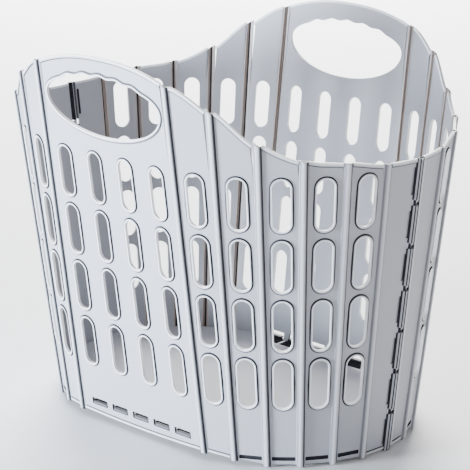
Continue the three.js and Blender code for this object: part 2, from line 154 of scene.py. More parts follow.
class HamperSlotSizes(bpy.types.PropertyGroup):
    width: length("Width", 0.0164, "Width of an upright slot")
    height: length("Height", 0.050175, "Height of an upright slot")
    pitch: length("Pitch", 0.060075, "Height from one slot to the next")
    first: length("First slot", 0.0626, "Height of the lowest slot's lower end")
    bead: length("Bead", 0.0022, "Width of the raised rim round a slot")
    proud: length("Bead height", 0.0013, "How far the raised rim stands out")
    wide_pitch: length("Column pitch", 0.0408, "Distance between the columns of a wide panel")
    rows: IntProperty(name="Rows", default=4, description="Slots in each column")
    columns: IntProperty(name="Columns", default=4, description="Columns in a wide panel")


class HamperHandleSizes(bpy.types.PropertyGroup):
    width: length("Width", 0.149, "Width of a carry hole")
    middle: length("Middle", 0.345, "Height of a carry hole's widest place")
    rise: length("Rise", 0.026, "Height of the hole above its widest place")
    drop: length("Drop", 0.0335, "Depth of the hole below its widest place")
    finger_pitch: length("Finger pitch", 0.0215, "Length of one finger wave")
    finger_depth: length("Finger depth", 0.0018, "Depth of a finger wave")
    bead: length("Bead", 0.0028, "Width of the raised rim round the hole")
    proud: length("Bead height", 0.0012, "How far the raised rim stands out")
    fingers: IntProperty(name="Fingers", default=5, description="Finger waves on the upper edge")


class HamperFootSizes(bpy.types.PropertyGroup):
    hook_pitch: length("Hook pitch", 0.029, "Distance between the base hook slots")
    hook_width: length("Hook slot width", 0.0213, "Width of a base hook slot")
    hook_height: length("Hook slot height", 0.0068, "Height of a base hook slot")
    hook_level: length("Hook level", 0.0197, "Height of the middle of the hook slots")
    hook_corner: length("Hook slot corner", 0.0007, "Radius of a hook slot's corners")
    slot_level: length("Foot slot level", 0.0069, "Height of the rail under a foot slot")
    slot_height: length("Foot slot height", 0.0035, "Height of a foot slot")
    slot_margin: length("Foot slot margin", 0.0049, "Distance from a hinge line to a foot slot")
    slot_corner: length("Foot slot corner", 0.0005, "Radius of a foot slot's corners")
    ledge_top: length("Ledge top", 0.0135, "Height of the ledge that the base rests on")
    ledge_thickness: length("Ledge thickness", 0.0018, "Thickness of the ledge")
    ledge_depth: length("Ledge depth", 0.004, "Depth of the ledge")
    ledge_corner: length("Ledge corner", 0.0004, "Radius of the ledge's edges")
    hooks: IntProperty(name="Hooks", default=5, description="Hook slots in a wide panel")


class HamperSeamSizes(bpy.types.PropertyGroup):
    rod: length("Rod", 0.0015, "Radius of the seam rod")
    bore: length("Curl bore", 0.0032, "Inner radius of a curl")
    curl: length("Curl", 0.0044, "Outer radius of a curl")
    curl_lap: length("Curl lap", 0.0002, "How far a plate runs into its curls")
    root_lap: length("Root lap", 0.0004, "How far the curls' roots run into their plate")
    end_round: length("Rounded end", 0.0006, "Length of the rounded ends of curls and rod")
    # The skirt is a thin dark sheet along the raised strip: painted shade
    skirt_proud: length("Skirt", 0.00008, "How far the dark skirt of the strip stands out")
    notch: length("Notch", 0.0056, "Gap between two curls")
    web: length("Web", 0.0032, "Height of a web that holds the rod")
    web_corner: length("Web corner", 0.0005, "Radius of a web's edges")
    plate_gap: length("Plate gap", 0.0018, "Gap from the curls to the plate behind the rod")
    bead: length("Bead", 0.0034, "Width of the raised strip beside the rod")
    window_height: length("Window height", 0.027, "Height of the window behind a curl")
    window_width: length("Window width", 0.0024, "Width of the window behind a curl")
    window_gap: length("Window gap", 0.0006, "Wall between a window and its curl")
    line_depth: length("Line depth", 0.0005, "Depth of the fine groove along a curl")
    line: FloatProperty(
        name="Line", default=math.radians(113), subtype="ANGLE",
        description="Place of the fine groove round a curl")
    curls: IntProperty(name="Curls", default=7, description="Curls along a seam")


class HamperBaseSizes(bpy.types.PropertyGroup):
    thickness: length("Thickness", 0.002, "Thickness of a base flap")
    drop: length("Drop", 0.0016, "Depth of the long flap's top under its hinge")
    stack_gap: length("Stack gap", 0.0003, "Gap between the flaps where they lap")
    reach: length("Reach", 0.12, "Reach of the short flap from its hinge")
    lap: length("Lap", 0.008, "Overlap of the flaps")
    edge_gap: length("Edge gap", 0.0015, "Gap from the flaps to the walls")
    tongue: length("Tongue", 0.0021, "Thickness of a hook tongue")
    tongue_drop: length("Tongue drop", 0.0006, "Depth of a tongue's top under the hinge")
    tongue_proud: length("Tongue reach", 0.0006, "How far a tongue stands out of the wall")
    tongue_inset: length("Tongue inset", 0.003, "How far a tongue runs inside")
    tongue_gap: length("Tongue gap", 0.0005, "Gap beside a tongue in its slot")
    tongue_corner: length("Tongue corner", 0.0006, "Radius of a tongue's edges")
    leg: length("Leg", 0.002, "Depth of the leg from a tongue down to the flap")
    leg_corner: length("Leg corner", 0.0004, "Radius of a leg's edges")
    relief_width: length("Relief width", 0.0016, "Width of the relief cuts beside the hooks")
    relief_length: length("Relief length", 0.012, "Length of the relief cuts")
    tongue_shift: length("Tongue end", 0.002, "How much shorter a tongue is than its leg")
    # A hook pocket is a thin dark sheet on the flap: painted shade seen through a hook slot
    pocket: length("Hook pocket", 0.013, "Depth of the shaded pocket behind a hook")
    pocket_inset: length("Pocket inset", 0.0005, "Distance from a flap's hinge edge to its pockets")
    pocket_lap: length("Pocket lap", 0.003, "How far a pocket runs beyond its hook on each side")


class HamperFinish(bpy.types.PropertyGroup):
    wall: tint("Wall", (0.37, 0.378, 0.41), "Light blue-grey polypropylene")
    # Painted highlight: the paler tone that thin edges, rims and bead tops take
    rim: tint("Thin edges", (0.88, 0.885, 0.90), "Paler tone of thin edges")
    # Painted glow of light through the thin hinges, in and beside their grooves
    groove: tint("Grooves", (0.47, 0.38, 0.32), "Warm tone beside the hinge grooves")
    # Painted shade: the dark tone of creases, groove middles, shaded edges and dark sheets
    crease: tint("Creases", (0.03, 0.03, 0.035), "Dark tone in creases and grooves")
    base: tint("Base", (0.48, 0.49, 0.53), "Light grey polypropylene")
    wear: tint("Scuffs", (0.52, 0.52, 0.54), "Grey of scuffs near the floor")
    floor: tint("Floor", (0.93, 0.93, 0.94), "Pale floor")
    wear_height: length("Scuff height", 1 / 28, "Height over the floor that scuffs reach")
    wall_roughness: FloatProperty(
        name="Wall roughness", default=0.4, description="Satin of the walls")
    base_roughness: FloatProperty(
        name="Base roughness", default=0.46, description="Satin of the base")


class HamperStage(bpy.types.PropertyGroup):
    camera: FloatVectorProperty(
        name="Camera", default=(1.2814, -1.3851, 0.7639), subtype="TRANSLATION", unit="LENGTH",
        description="Place of the camera")
    aim: FloatVectorProperty(
        name="Aim", default=(0.002, 0.0019, 0.1767), subtype="TRANSLATION", unit="LENGTH",
        description="Point that the camera looks at")
    roll: FloatProperty(
        name="Roll", default=math.radians(-0.256), subtype="ANGLE",
        description="Turn of the camera about its view line")
    lens: FloatProperty(name="Lens", default=149.6, description="Focal length in millimetres")
    shift: FloatProperty(name="Shift", default=-0.0008, description="Sideways shift of the lens")
    lamp_aim: length("Lamp aim", 0.18, "Height of the point that the lamps are turned to")
    floor_reach: length("Floor", 6.0, "Distance from the middle of the floor to its sides")
    floor_drop: length("Floor drop", 0.0003, "Depth of the floor under the hamper's feet")
    backdrop_radius: length("Backdrop", 5.8, "Distance of the pale backdrop from the hamper")
    backdrop_height: length("Backdrop height", 2.6, "Height of the pale backdrop")
    backdrop_sides: IntProperty(
        name="Backdrop sides", default=96, description="Flat sides of the backdrop")


def sizes(name):
    """The size group of that name."""
    return getattr(bpy.context.scene, f"hamper_{name}")


# Shares of the fall from the corner height to the seam height at each hinge line, and of the feet's
# rise
RIM_DROP_SHARES = np.array([0, 0.265, 0.648, 0.849, 0.903, 0.98, 1])
FOOT_SHARES = np.array([1, 0.59, 0, 0, 0, 0, 0])


def rim_height(place):
    """Rim height at places from 0, a wide panel's edge, to 6, the seam: a smooth cubic through the
    shares. Below 0 the place is a share of the way back to the wide panel's middle, where the crown
    rises."""
    wall = sizes("walls")
    knots = wall.corner - RIM_DROP_SHARES * (wall.corner - wall.seam)
    place = np.asarray(place, float)
    start = np.clip(np.floor(place).astype(int), 0, len(knots) - 2)
    t = place - start
    before, first = knots[np.maximum(start - 1, 0)], knots[start]
    second, after = knots[start + 1], knots[np.minimum(start + 2, len(knots) - 1)]
    enter, leave = (second - before) / 2, (after - first) / 2
    curve = ((2 * first - 2 * second + enter + leave) * t**3
             + (3 * second - 3 * first - 2 * enter - leave) * t**2 + enter * t + first)
    return np.where(place < 0, crown_height(1 + place), curve)


def crown_height(share):
    """Rim height of a wide panel: it falls from the crown to the corner by a power of the share of
    the way from the panel's middle to its edge."""
    wall = sizes("walls")
    return wall.crown - (wall.crown - wall.corner) * np.abs(share) ** wall.crown_power


def foot_height(place):
    """Height of the plates' lower edge at a place, straight from one hinge line to the next and,
    below 0, bowed down under the wide panel by a square curve."""
    wall = sizes("walls")
    share = np.interp(np.maximum(place, 0), np.arange(len(FOOT_SHARES)), FOOT_SHARES)
    bow = wall.foot_bow * (1 - (1 + np.minimum(place, 0)) ** 2)
    return share * wall.wide_foot + sizes("ribs").foot_drop - bow


def unit(vector):
    """The vector at length one."""
    return vector / np.linalg.norm(vector)


def hinge_lines():
    """Every upright joint as its point on the floor and its run per metre of height. The left seam,
    where the ring of panels is opened, is the right seam's line on the other side."""
    lines = {}
    for joint in frame["joints"]:
        point, axis = np.array(joint["pos_m"]), np.array(joint["axis"])
        if abs(axis[2]) > 0.5:
            run = axis / axis[2]
            lines[joint["name"]] = (point - run * point[2], run)
    mirror = np.array([-1, 1, 1])
    lines["left_seam"] = tuple(part * mirror for part in lines["right_seam"])
    return lines


LINES = hinge_lines()


def ramp(values, start, stop):
    """A straight rise from 0 at the start to 1 at the stop, held beyond both."""
    return np.clip((values - start) / (stop - start), 0, 1)


def level_row(x, level):
    """Points of a plane at places along it, at one level or at matching levels."""
    return np.stack([x, np.broadcast_to(level, x.shape)], axis=-1)


class Plane:
    """A wall panel's plane, seen from outside: x along its foot to the right, y up it, z out."""

    def __init__(self, left, right):
        (start, lean), (end, _) = LINES[left], LINES[right]
        across = unit(end - start)
        up = unit(lean - across * (lean @ across))
        self.axes = np.array([across, up, np.cross(across, up)])
        self.origin = start
        self.rise = up[2]
        self.left, self.right = self.flat_line(left), self.flat_line(right)

    def flat_line(self, name):
        """A hinge line in this plane: its x at the foot and its x gained per metre up."""
        point, run = LINES[name]
        foot, direction = (point - self.origin) @ self.axes.T, run @ self.axes.T
        slope = direction[0] / direction[1]
        return foot[0] - slope * foot[1], slope

    def edges(self, level, reach_left, reach_right):
        """Left and right ends of the plate at levels of the plane."""
        level = np.asarray(level, float)
        left = self.left[0] + self.left[1] * level + reach_left
        right = self.right[0] + self.right[1] * level - reach_right
        return left, right

    def row(self, level, reach_left, reach_right):
        """Points in equal steps from the left end to the right, at one level or several."""
        left, right = self.edges(level, reach_left, reach_right)
        return level_row(left + NARROW_SHARES * (right - left), level)

    def world(self, points):
        """Points of the plane in the hamper's frame."""
        return points @ self.axes + self.origin


def arc(centre, radius, start, end, steps):
    """Points on an arc between two angles in degrees, both ends included."""
    angle = np.radians(np.linspace(start, end, steps + 1))
    return np.array(centre) + radius * np.stack([np.cos(angle), np.sin(angle)], axis=-1)


def lip_section(wall, band, proud, *, fillet, shoulder, edge, back, pale, inner=0.0, steps=3):
    """Section over a free edge with a raised band. The first value is the distance from the edge,
    the second the height off the plate's middle: a fillet, the band's rounded shoulder, the rounded
    edge and the rounded back edge. The third is the relief, the painted light: a painted highlight
    that falls from 1 at the edge to 0 at the distance `pale`, and painted shade from the top of the
    shoulder to -1 at its foot and in the fillet. On the back the painted highlight is 1 as far as
    `inner`."""
    half = wall / 2
    top = half + proud
    section = np.concatenate([
        arc((band + fillet, half + fillet), fillet, 270, 180, steps),
        arc((band - shoulder, top - shoulder), shoulder, 0, 90, steps),
        arc((edge, top - edge), edge, 90, 180, steps + 1),
        arc((back, back - half), back, 180, 270, steps),
        [[inner - SOFT_EDGE, -half], [inner, -half]] if inner else np.empty((0, 2)),
        [[band + fillet, -half]],
    ])
    distance, height = section.T
    # The painted highlight near the thin edge, and the painted shade at the foot of the band's
    # shoulder
    thin, crease = ramp(distance, pale, edge), ramp(distance, band - shoulder, band)
    behind = np.where(height > -half * 0.9, thin, ramp(distance, inner, inner - SOFT_EDGE))
    return np.column_stack([section, np.where(height > half * 0.99, thin - crease, behind)])


def plain_section(wall, margin, edge, relief=0.0, steps=3):
    """Section over a plain free edge with both corners rounded, as far as a margin on either side.
    The relief is the painted light of its edge: painted shade where it is below 0."""
    half = wall / 2
    section = np.concatenate([
        [[margin, half]],
        arc((edge, half - edge), edge, 90, 180, steps),
        arc((edge, edge - half), edge, 180, 270, steps),
        [[margin, -half]],
    ])
    reliefs = np.full(len(section), relief)
    reliefs[[0, -1]] = 0
    return np.column_stack([section, reliefs])


def carried(path, inward, section):
    """A section carried along a path: each point is the path's, moved inward by the section's
    distance and lifted to its height. The relief value goes along as the fourth value."""
    flat = path[None] + inward[None] * section[:, 0, None, None]
    others = np.broadcast_to(section[:, None, 1:], flat.shape[:2] + (2,))
    return np.concatenate([flat, others], axis=-1)


def path_normals(path, closed=False):
    """Unit normals on the left of a path's direction, from the differences of its neighbours."""
    if closed:
        tangent = np.roll(path, -1, axis=0) - np.roll(path, 1, axis=0)
    else:
        tangent = np.gradient(path, axis=0)
    normal = np.stack([-tangent[:, 1], tangent[:, 0]], axis=-1)
    return normal / np.linalg.norm(normal, axis=-1, keepdims=True)


def between(first, last, steps):
    """Rows from one row of points to another in equal steps, both included."""
    share = np.linspace(0, 1, steps + 1)[:, None, None]
    return first[None] * (1 - share) + last[None] * share


def lifted(rows, height):
    """Flat points with one height as their third value and no relief as their fourth."""
    others = np.broadcast_to(np.array([height, 0.0]), rows.shape[:-1] + (2,))
    return np.concatenate([rows, others], axis=-1)


def rounded_outline(half_width, half_height, radius, turn, across, up):
    """A rounded rectangle, counter-clockwise from the middle of its top, as points and outward
    normals: quarter circles in `turn` steps, and straight sides in `across` and `up` steps."""
    right, top = half_width - radius, half_height - radius
    points, normals = [], []

    def straight(start, end, count, normal):
        share = np.linspace(0, 1, count, endpoint=False)[:, None]
        points.append(np.array(start) * (1 - share) + np.array(end) * share)
        normals.append(np.broadcast_to(normal, (count, 2)))

    straight((0, half_height), (-right, half_height), across // 2, (0.0, 1.0))
    corners = (((-right, top), 90, up, 2 * top), ((-right, -top), 180, across, 2 * right),
               ((right, -top), 270, up, 2 * top), ((right, top), 360, across // 2, right))
    for centre, angle, count, run in corners:
        bend = np.radians(np.linspace(angle, angle + 90, turn + 1))
        normal = np.stack([np.cos(bend), np.sin(bend)], axis=-1)
        bent = np.array(centre) + radius * normal
        points.append(bent[:-1])
        normals.append(normal[:-1])
        along = np.array([-normal[-1, 1], normal[-1, 0]])
        straight(bent[-1], bent[-1] + along * run, count, normal[-1])
    return np.concatenate(points), np.concatenate(normals)


def bar_section(half_width, half_height, corner, turn, centre=(0, 0), relief=0.0):
    """Section of a bar: a rounded rectangle about a centre, all with one relief."""
    outline = rounded_outline(half_width, half_height, corner, turn, 0, 0)[0] + centre
    return np.column_stack([outline, np.full(len(outline), relief)])


# Order of columns that puts a section of depth and level into one of level and depth
LEVEL_FIRST = [1, 0, 2]


def crosswise(section, along):
    """Places the section of a bar that runs across: it fills the second and third coordinates."""
    return np.column_stack([np.full(len(section), along), section])


def cell_border(bottom, top, up):
    """Border of a cell, counter-clockwise from the middle of its top row, its sides in equal
    steps."""
    middle = len(top) // 2
    left = between(top[:1], bottom[:1], up)[1:-1, 0]
    right = between(bottom[-1:], top[-1:], up)[1:-1, 0]
    return np.concatenate([top[middle::-1], left, bottom, right, top[:middle:-1]])


class Shell:
    """Collects the grid patches of one moulding, in its own plane's frame."""

    def __init__(self):
        self.points, self.quads, self.count = [], [], 0

    def patch(self, grid, closed=False):
        """Adds a grid of points as quads, joined round when closed. The fourth value is the relief,
        the painted light: from -1, painted shade in creases, to 1, a painted highlight on a thin
        raised edge, and 0 where the grid has none."""
        rows, columns = grid.shape[:2]
        if grid.shape[2] == 3:
            grid = np.concatenate([grid, np.zeros((rows, columns, 1))], axis=-1)
        index = np.arange(rows * columns).reshape(rows, columns) + self.count
        if closed:
            index = np.concatenate([index, index[:, :1]], axis=1)
        quads = np.stack([index[:-1, :-1], index[1:, :-1], index[1:, 1:], index[:-1, 1:]], axis=-1)
        self.points.append(grid.reshape(-1, 4))
        self.quads.append(quads.reshape(-1, 4))
        self.count += rows * columns

    def plate(self, rows, half):
        """Front and back faces of a plate over rows of flat points."""
        self.patch(lifted(rows, half))
        self.patch(lifted(rows, -half))

    def hole(self, outline, outward, border, section, half, steps=2):
        """A plate round a hole: straight in from the border to a ring just outside the section,
        over the section and through the hole, and straight out to the border behind."""
        rings = carried(outline, outward, section)
        # The ring just outside the section keeps the painted shade beside the rim narrow
        gap = border - rings[0, :, :2]
        share = np.minimum(0.5, CREASE_WIDTH / np.linalg.norm(gap, axis=-1, keepdims=True))
        front = lifted(between(border, rings[0, :, :2] + gap * share, steps), half)
        back = lifted(between(rings[-1, :, :2], border, steps), -half)[1:]
        self.patch(np.concatenate([front, rings, back]), closed=True)

    def bar(self, section, start, end, place, shrink=0.0004):
        """A closed bar from start to end: place(section, along) puts the section's first two
        values, its relief goes along, and it is drawn in towards its middle over its rounded
        ends."""
        flat, relief = section[:, :2], section[:, 2:]
        middle = flat.mean(axis=0)
        draw = 3 * shrink / np.abs(flat - middle).max()
        rows = [(start + shrink * share, size) for share, size in BAR_END]
        rows += [(end - shrink * share, size) for share, size in reversed(BAR_END)]
        self.patch(np.array([np.column_stack([
            place(middle + (flat - middle) * (1 - (1 - size) * draw), along), relief])
            for along, size in rows]), closed=True)

    def mesh(self, name):
        """One closed mesh: patches joined where they meet, open ends filled, faces outward."""
        data = bpy.data.meshes.new(name)
        points = np.concatenate(self.points)
        data.from_pydata(points[:, :3], [], np.concatenate(self.quads))
        point_values(data, "relief", points[:, 3])
        work = bmesh.new()
        work.from_mesh(data)
        bmesh.ops.remove_doubles(work, verts=work.verts, dist=2e-6)
        bmesh.ops.dissolve_degenerate(work, dist=1e-7, edges=work.edges)
        open_edges = [edge for edge in work.edges if edge.is_boundary]
        bmesh.ops.holes_fill(work, edges=open_edges, sides=0)
        bmesh.ops.recalc_face_normals(work, faces=work.faces)
        work.to_mesh(data)
        work.free()
        return data


def vertices(data):
    """A mesh's points as an array."""
    flat = np.empty(len(data.vertices) * 3, np.float32)
    data.vertices.foreach_get("co", flat)
    return flat.reshape(-1, 3).astype(float)


def point_values(data, name, values):
    """Stores one number for each point of a mesh, for its material."""
    layer = data.attributes.new(name, "FLOAT", "POINT")
    layer.data.foreach_set("value", np.asarray(values, np.float32))


def finish_piece(name, data, world, part):
    """Makes the object of a finished mesh: placed in the hamper's frame, shaded smooth, with the
    finish of its part, wall or base."""
    placed = world(vertices(data))
    data.vertices.foreach_set("co", placed.astype(np.float32).ravel())
    data.update()
    data.shade_smooth()
    data.set_sharp_from_angle(angle=math.radians(50))
    piece = linked(name, data)
    weights = piece.modifiers.new("Face weights", "WEIGHTED_NORMAL")
    weights.keep_sharp = True
    data.materials.append(plastic(part))
    return piece


def linked(name, data):
    """A new object of some data, in the scene."""
    new = bpy.data.objects.new(name, data)
    bpy.context.scene.collection.objects.link(new)
    return new


def panel_names(half):
    """Names of the parts of one wall half: its curl side is on the right as seen from outside."""
    right, left = ("right", "left") if half == "front" else ("left", "right")
    return f"{half}_{right}", f"{half}_{left}", f"{right}_seam", f"{left}_seam"


def side_names(side):
    """Names of one side's narrow panels and its end panel, counted from the wide panel."""
    narrow = [f"{side}_panel_{number}" for number in range(1, NARROW_PANELS + 1)]
    return narrow + [f"{side}_end_panel"]


def hinge_names(side):
    """Names of the living hinges of one side, counted from the wide panel."""
    return [f"{side}_hinge_{number}" for number in range(1, NARROW_PANELS + 2)]


def side_panels():
    """Every side panel: its name, left and right line, and the rim places at them, as seen from
    outside, and its number from the wide panel."""
    found = []
    for half in HALVES:
        curl_side, rod_side, curl_seam, rod_seam = panel_names(half)
        for side, seam, order in ((curl_side, curl_seam, 1), (rod_side, rod_seam, -1)):
            lines = hinge_names(side) + [seam]
            for index, name in enumerate(side_names(side)):
                ends = (lines[index], lines[index + 1])[::order]
                found.append((name, ends, (index, index + 1)[::order], index + 1))
    return found


def slot_section():
    """Section over the raised rim of an upright slot."""
    slot = sizes("slots")
    # Painted highlight on the bead's top and edge, and painted shade at its foot
    return lip_section(sizes("walls").thickness, slot.bead, slot.proud, fillet=0.0005,
                       shoulder=0.0007, edge=0.0006, back=0.0004, pale=0.0016)


def slot_outline():
    """Outline of an upright slot about its middle: two half circles and two straight sides."""
    radius, half_height = sizes("slots").width / 2, sizes("slots").height / 2
    return rounded_outline(radius, half_height, radius, turn=SIDE_STEPS // 2, across=0, up=ACROSS)


def slot_levels():
    """Heights of the slot rows' middles, and of their borders from the lowest to the highest."""
    slot = sizes("slots")
    middle = slot.first + slot.height / 2 + np.arange(slot.rows) * slot.pitch
    top = middle[-1] + slot.height / 2 + slot.bead + CREASE_WIDTH
    return middle, np.append(middle - slot.pitch / 2, top)


def edge_path(plane, places, ends, height):
    """A free edge of a side panel between its plate's ends, as points of its plane: height gives
    its height at each place."""
    place = places[0] + NARROW_SHARES * (places[1] - places[0])
    return plane.row(height(place) / plane.rise, *ends)


def banded_lip(shell, path, inward, section):
    """Adds a banded edge along a path and returns the row of points on its inner side."""
    # Painted shade on a band is held to a lesser level, with none where it meets the plate
    section[:, 2] = np.maximum(section[:, 2], BAND_SHADE)
    section[0, 2] = 0
    rows = carried(path, inward, section)
    shell.patch(rows)
    return rows[0, :, :2]


def rim_lip(shell, path):
    """Adds the banded rim along a path, left to right, and returns the points below it."""
    wall = sizes("walls")
    # Painted highlight along the rim's thin edge and down its back, and painted shade under its
    # band
    section = lip_section(
        wall.thickness, wall.rim_band, wall.rim_proud, fillet=0.0008, shoulder=0.0006, edge=0.0007,
        back=0.0006, pale=wall.rim_band * 0.6, inner=wall.rim_band * 0.75)
    return banded_lip(shell, path, -path_normals(path), section)


def foot_lip(shell, path, banded=True):
    """Adds the foot's edge along a path, left to right, and returns the points above it."""
    wall = sizes("walls")
    if not banded:
        section = plain_section(wall.thickness, margin=0.001, edge=0.0005)
        rows = carried(path, path_normals(path), section)
        shell.patch(rows)
        return rows[0, :, :2]
    # Painted highlight along the foot's thin edge, and painted shade above its band
    section = lip_section(
        wall.thickness, wall.foot_band, wall.foot_proud, fillet=0.0006, shoulder=0.0006,
        edge=0.0005, back=0.0005, pale=wall.foot_band * 0.6)
    return banded_lip(shell, path, path_normals(path), section)


def foot_slot(shell, plane, row, ends):
    """Adds the cell of a foot slot above a row of points, with painted shade on the slot's edges, a
    thin dark sheet just inside it that paints the shade seen through it, and the inner ledge that
    the base rests on, and returns the row above it."""
    half, foot = sizes("walls").thickness / 2, sizes("foot")
    level = (foot.slot_level + foot.slot_height / 2) / plane.rise
    left, right = plane.edges(level, foot.slot_margin, foot.slot_margin)
    outline, outward = rounded_outline(
        (right - left) / 2, foot.slot_height / 2, foot.slot_corner, turn=2, across=ACROSS, up=2)
    above = plane.row(level + foot.slot_height, *ends)
    shell.hole(outline + [(left + right) / 2, level], outward, cell_border(row, above, HOOK_STEPS),
               plain_section(2 * half, margin=0.00035, edge=0.0003, relief=SHADE), half, steps=1)
    # A thin dark sheet just inside the slot: painted shade seen through it
    shade_sheet = bar_section(SHADE_SHEET, foot.slot_height / 2 + 2 * SHADE_SHEET_LAP, SHADE_SHEET_CORNER, 1,
                          (SUNK - half, level), SHADE)
    shell.bar(shade_sheet[:, LEVEL_FIRST], left - SHADE_SHEET_LAP, right + SHADE_SHEET_LAP, crosswise,
              SHADE_SHEET_CORNER)
    middle = foot.ledge_top - foot.ledge_thickness / 2
    ledge = bar_section(foot.ledge_depth / 2, foot.ledge_thickness / 2, foot.ledge_corner, 2,
                        (foot.ledge_corner - half - foot.ledge_depth / 2, middle / plane.rise))
    shell.bar(ledge[:, LEVEL_FIRST], left, right, crosswise)
    return above


def narrow_plate(plane, places, number):
    """A narrow panel's plate: foot, foot slot where it has one, a column of slots and the rim."""
    half, reach = sizes("walls").thickness / 2, sizes("ribs").reach
    ends = (reach, reach)
    shell = Shell()
    slotted = number > PLAIN_PANELS
    row = foot_lip(shell, edge_path(plane, places, ends, foot_height), not slotted)
    if slotted:
        row = foot_slot(shell, plane, row, ends)
    middles, borders = slot_levels()
    outline, outward = slot_outline()
    above = plane.row(borders[0] / plane.rise, *ends)
    shell.plate(between(row, above, 4), half)
    lean = math.atan((plane.left[1] + plane.right[1]) / 2)
    turn = np.array([[math.cos(lean), -math.sin(lean)], [math.sin(lean), math.cos(lean)]])
    for middle, border in zip(middles / plane.rise, borders[1:] / plane.rise):
        row, above = above, plane.row(border, *ends)
        left, right = plane.edges(middle, *ends)
        shell.hole(outline @ turn + [(left + right) / 2, middle], outward @ turn,
                   cell_border(row, above, SIDE_STEPS), slot_section(), half)
    top = rim_lip(shell, edge_path(plane, places, ends, rim_height))
    shell.plate(between(above, top, 3), half)
    return shell


def notch_levels(plane):
    """Levels of the notches between the curls, in an end panel's plane."""
    seam = sizes("seams")
    return np.arange(1, seam.curls) * sizes("walls").seam / seam.curls / plane.rise


def along_seam(plane, line, side):
    """How a bar runs along a seam: the function that places its section, whose first value is the
    distance from the seam line away from the plate and the second the height, and the bar's lowest
    level."""
    slope = line[1]
    away = unit(np.array([1, -slope])) * side

    def place(section, level):
        flat = np.array([line[0] + slope * level, level]) + section[:, :1] * away
        return np.concatenate([flat, section[:, 1:]], axis=-1)

    return place, (abs(slope) + abs(plane.axes[2][2]) / plane.rise) * sizes("seams").curl


def curl_plate(plane, places):
    """The end panel whose far edge rolls into curls, with a window behind each one: painted shade
    on its edges and a thin dark sheet across it, full painted shade inside and faint outside.
    """
    wall, seam = sizes("walls"), sizes("seams")
    half = wall.thickness / 2
    ends = (sizes("ribs").reach, seam.curl - seam.curl_lap)
    shell = Shell()
    row = foot_lip(shell, edge_path(plane, places, ends, foot_height))
    top = rim_lip(shell, edge_path(plane, places, ends, rim_height))
    pitch = wall.seam / seam.curls / plane.rise
    width, height = seam.window_width / 2, seam.window_height / 2
    outline, outward = rounded_outline(width, height, width, turn=3, across=0, up=ACROSS)
    outline[:, 0] += plane.right[1] * outline[:, 1]
    # Painted shade on the windows' edges
    section = plain_section(wall.thickness, margin=0.00035, edge=0.0002, relief=SHADE)
    place, lowest = along_seam(plane, plane.right, 1)
    inset = seam.window_gap + width
    # A thin dark sheet across each window: full painted shade on its inner face, faint on its outer
    shade_sheet = bar_section(width + SHADE_SHEET, SHADE_SHEET, SHADE_SHEET_CORNER, 1, (-ends[1] - inset, 0), SHADE)
    shade_sheet[shade_sheet[:, 1] > 0, 2] = FAINT_SHADE
    for curl in range(seam.curls):
        level = (curl + 0.5) * pitch
        above = top if curl == seam.curls - 1 else plane.row((curl + 1) * pitch, *ends)
        centre = [plane.edges(level, *ends)[1] - inset, level]
        shell.hole(outline + centre, outward, cell_border(row, above, HOOK_STEPS), section, half)
        shell.bar(shade_sheet, level - height - SHADE_SHEET_LAP, level + height + SHADE_SHEET_LAP, place,
                  SHADE_SHEET_CORNER)
        row = above
    roll = seam_roll()
    notches = notch_levels(plane)
    starts = np.append(lowest, notches + seam.notch / 2)
    stops = np.append(notches - seam.notch / 2, wall.seam / plane.rise)
    for start, stop in zip(starts, stops):
        shell.bar(roll, start, stop, place, seam.end_round)
    return shell


def seam_roll():
    """Section of a curl: the plate's edge, rolled round the seam line and open towards the inside,
    with a fine groove along its outside. The relief is painted shade: full in the groove, beside
    the plate, down the side away from it and on the lip, dimmer on both sides of the bore and faint
    in the bore between them."""
    seam, half = sizes("seams"), sizes("walls").thickness / 2
    root, mouth, back = 158, -60, 195
    groove_reach, plate_shade, side_shade, side_fade, bore_light = 11, 146, 88, 16, 45
    turns = np.linspace(root, mouth, 79)
    depth = ramp(np.abs(turns - math.degrees(seam.line)), groove_reach, 0)
    radius = seam.curl - seam.line_depth * depth
    outside = arc((0, 0), 1, root, mouth, len(turns) - 1) * radius[:, None]
    inside = arc((0, 0), seam.bore, mouth, back, 26)
    lip = arc((0, 0), (seam.curl + seam.bore) / 2, mouth - 6, mouth - 6, 0)
    flange = [[-seam.curl - seam.root_lap, -half], [-seam.curl - seam.root_lap, half]]
    side = ramp(turns, side_shade, side_shade - side_fade)
    shade = np.maximum(np.sqrt(depth), np.maximum(turns > plate_shade, side))
    sides = np.abs(np.linspace(mouth, back, len(inside)) - 90) > bore_light
    relief = np.concatenate([-shade, [SHADE], np.where(sides, -0.5, -0.1), [0, SHADE]])
    return np.column_stack([np.concatenate([outside, lip, inside, flange]), relief])


